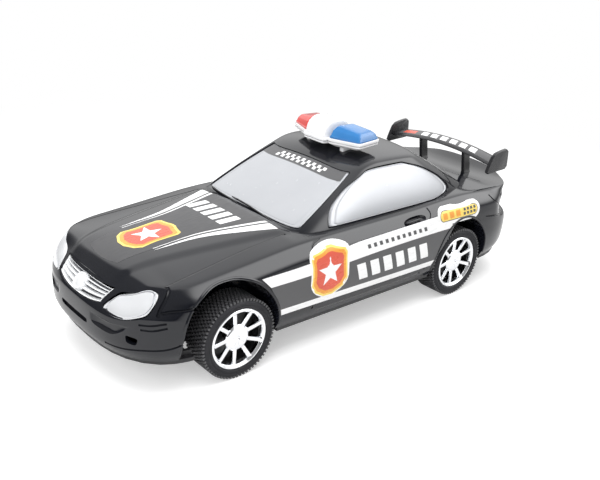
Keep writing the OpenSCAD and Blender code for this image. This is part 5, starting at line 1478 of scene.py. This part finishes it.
# %% Finishes for the CAD pieces
FINISHES = {"chassis": under_plastic, "gearbox_left": box_plastic, "gearbox_right": box_plastic,
            "drive_gear": gear_nylon, "idler_gear": gear_nylon, "flywheel_pinion": brass,
            "idler_shaft": steel, "flywheel": steel, "flywheel_shaft": steel, "gearbox_screws": steel,
            "chassis_screws": steel, "front_axle": steel, "rear_axle": steel}
FINISHES.update({f"{end}_{hand}_wheel": core_black for end, hand, _ in WHEELS})
for name, material in FINISHES.items():
    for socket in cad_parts[name].material_slots:
        socket.material = material
print(len(FINISHES), "CAD pieces finished")

# %% [markdown]
# ## Floor
# The photograph is a studio shot on white. The floor is pale and matt and takes the car's soft shadow.
# Further out, the camera sees it fade to plain white, which is done with the camera ray, so no extra light
# falls on the car.

# %% Floor
def studio_floor():
    """Flat floor: pale and matt near the car, and for the camera faded to plain white further out."""
    size = 4000.0
    a, b = grid(2, 2)
    points = np.stack([a * size, b * size, np.zeros_like(a)], -1).reshape(-1, 3)
    mesh = bpy.data.meshes.new("floor")
    mesh.from_pydata((points * MM).tolist(), [], [[0, 1, 3, 2]])
    floor = bpy.data.objects.new("floor", mesh)
    scene.collection.objects.link(floor)
    material = bpy.data.materials.new("floor_white")
    material.use_nodes = True
    nodes, link = material.node_tree.nodes, material.node_tree.links.new
    nodes.clear()
    new = nodes.new
    leave = new("ShaderNodeOutputMaterial")
    both, blend = new("ShaderNodeAddShader"), new("ShaderNodeMixShader")
    matt, glow, white = new("ShaderNodeBsdfDiffuse"), new("ShaderNodeEmission"), new("ShaderNodeEmission")
    path, place, far = new("ShaderNodeLightPath"), new("ShaderNodeTexCoord"), new("ShaderNodeVectorMath")
    matt.inputs["Color"].default_value = (0.80, 0.80, 0.80, 1)
    white.inputs["Strength"].default_value = 1.0
    far.operation = "LENGTH"
    fade = new("ShaderNodeMapRange")
    fade.interpolation_type = "SMOOTHSTEP"
    fade.inputs["From Min"].default_value, fade.inputs["From Max"].default_value = 0.20, 0.50
    seen, lift = new("ShaderNodeMath"), new("ShaderNodeMath")
    seen.operation = lift.operation = "MULTIPLY"
    lift.inputs[1].default_value = 0.40
    link(place.outputs["Object"], far.inputs[0])
    link(far.outputs["Value"], fade.inputs["Value"])
    link(fade.outputs["Result"], seen.inputs[0])
    link(path.outputs["Is Camera Ray"], seen.inputs[1])
    link(path.outputs["Is Camera Ray"], lift.inputs[0])
    link(lift.outputs[0], glow.inputs["Strength"])
    link(matt.outputs[0], both.inputs[0])
    link(glow.outputs[0], both.inputs[1])
    link(seen.outputs[0], blend.inputs[0])
    link(both.outputs[0], blend.inputs[1])
    link(white.outputs[0], blend.inputs[2])
    link(blend.outputs[0], leave.inputs["Surface"])
    mesh.materials.append(material)
    return floor


print(studio_floor().name, "laid")

# %% [markdown]
# ## Room
# What makes glossy black read as glossy is the room in it. An image of a room could light it, but a few
# soft shapes are enough: a pale ceiling, a bright panel at the side, and a dark end in front of the car.
# Only glossy rays see them. Matt light is even, and the camera sees white.

# %% Room
def studio_room():
    """World: white for the camera, even for matt light, and a ceiling, panel and dark front for gloss."""
    world = bpy.data.worlds.new("room")
    world.use_nodes = True
    scene.world = world
    nodes, link = world.node_tree.nodes, world.node_tree.links.new
    sky, path, place = nodes["Background"], nodes.new("ShaderNodeLightPath"), nodes.new("ShaderNodeTexCoord")
    sky.inputs["Color"].default_value = (1, 1, 1, 1)

    def toward(direction, low, high, dark, bright):
        """Brightness by how nearly a ray points in a direction: a smooth step of their dot product."""
        aim, span = nodes.new("ShaderNodeVectorMath"), nodes.new("ShaderNodeMapRange")
        aim.operation, span.interpolation_type = "DOT_PRODUCT", "SMOOTHSTEP"
        aim.inputs[1].default_value = np.array(direction) / np.linalg.norm(direction)
        for socket, value in (("From Min", low), ("From Max", high), ("To Min", dark), ("To Max", bright)):
            span.inputs[socket].default_value = value
        link(place.outputs["Generated"], aim.inputs[0])
        link(aim.outputs["Value"], span.inputs["Value"])
        return span.outputs["Result"]

    def blend(operation, first, second):
        """One maths node between two sockets or numbers."""
        node = nodes.new("ShaderNodeMath")
        node.operation = operation
        for socket, value in zip(node.inputs, (first, second)):
            if isinstance(value, float):
                socket.default_value = value
            else:
                link(value, socket)
        return node.outputs[0]

    ceiling = toward((0, 0, 1), -0.05, 0.45, 0.35, 1.75)
    panel_light = toward((-0.60, 0.52, 0.60), 0.78, 0.97, 0.0, 3.2)
    dark_front = toward((1.0, 0.15, 0.0), -0.10, 0.17, 1.0, 0.22)
    shiny = blend("MULTIPLY", blend("ADD", ceiling, panel_light), dark_front)
    matt, glossy_ray, camera_ray = 0.62, path.outputs["Is Glossy Ray"], path.outputs["Is Camera Ray"]
    even = blend("ADD", blend("MULTIPLY", blend("SUBTRACT", shiny, matt), glossy_ray), matt)
    level = blend("ADD", blend("MULTIPLY", blend("SUBTRACT", 1.0, even), camera_ray), even)
    link(level, sky.inputs["Strength"])


studio_room()
print("room", scene.world.name, "with", len(scene.world.node_tree.nodes), "nodes")

# %% [markdown]
# ## Lamps
# One broad soft lamp above gives the shadow under the car, and a weaker one in front opens up the nose.
# They are hidden from reflections, where the room's own panel is seen.

# %% Lamps
def soft_light(name, at, aim, size, power):
    """Square lamp at a place in millimetres, turned to face the aim."""
    lamp = bpy.data.objects.new(name, bpy.data.lights.new(name, "AREA"))
    lamp.data.energy, lamp.data.size = power, size * MM
    toward = np.array(at, float) - np.array(aim, float)
    toward /= np.linalg.norm(toward)
    side = np.cross([0, 1, 0.01], toward)
    side /= np.linalg.norm(side)
    lamp.matrix_world = stand(side, np.cross(toward, side), toward, at)
    lamp.visible_glossy = False
    scene.collection.objects.link(lamp)


soft_light("top_light", (60, 60, 900), (0, 0, 40), 900, 9.0)
soft_light("front_light", (700, 350, 500), (60, 0, 40), 500, 3.0)
scene.view_settings.view_transform = "Standard"
print("two lamps, view transform", scene.view_settings.view_transform)
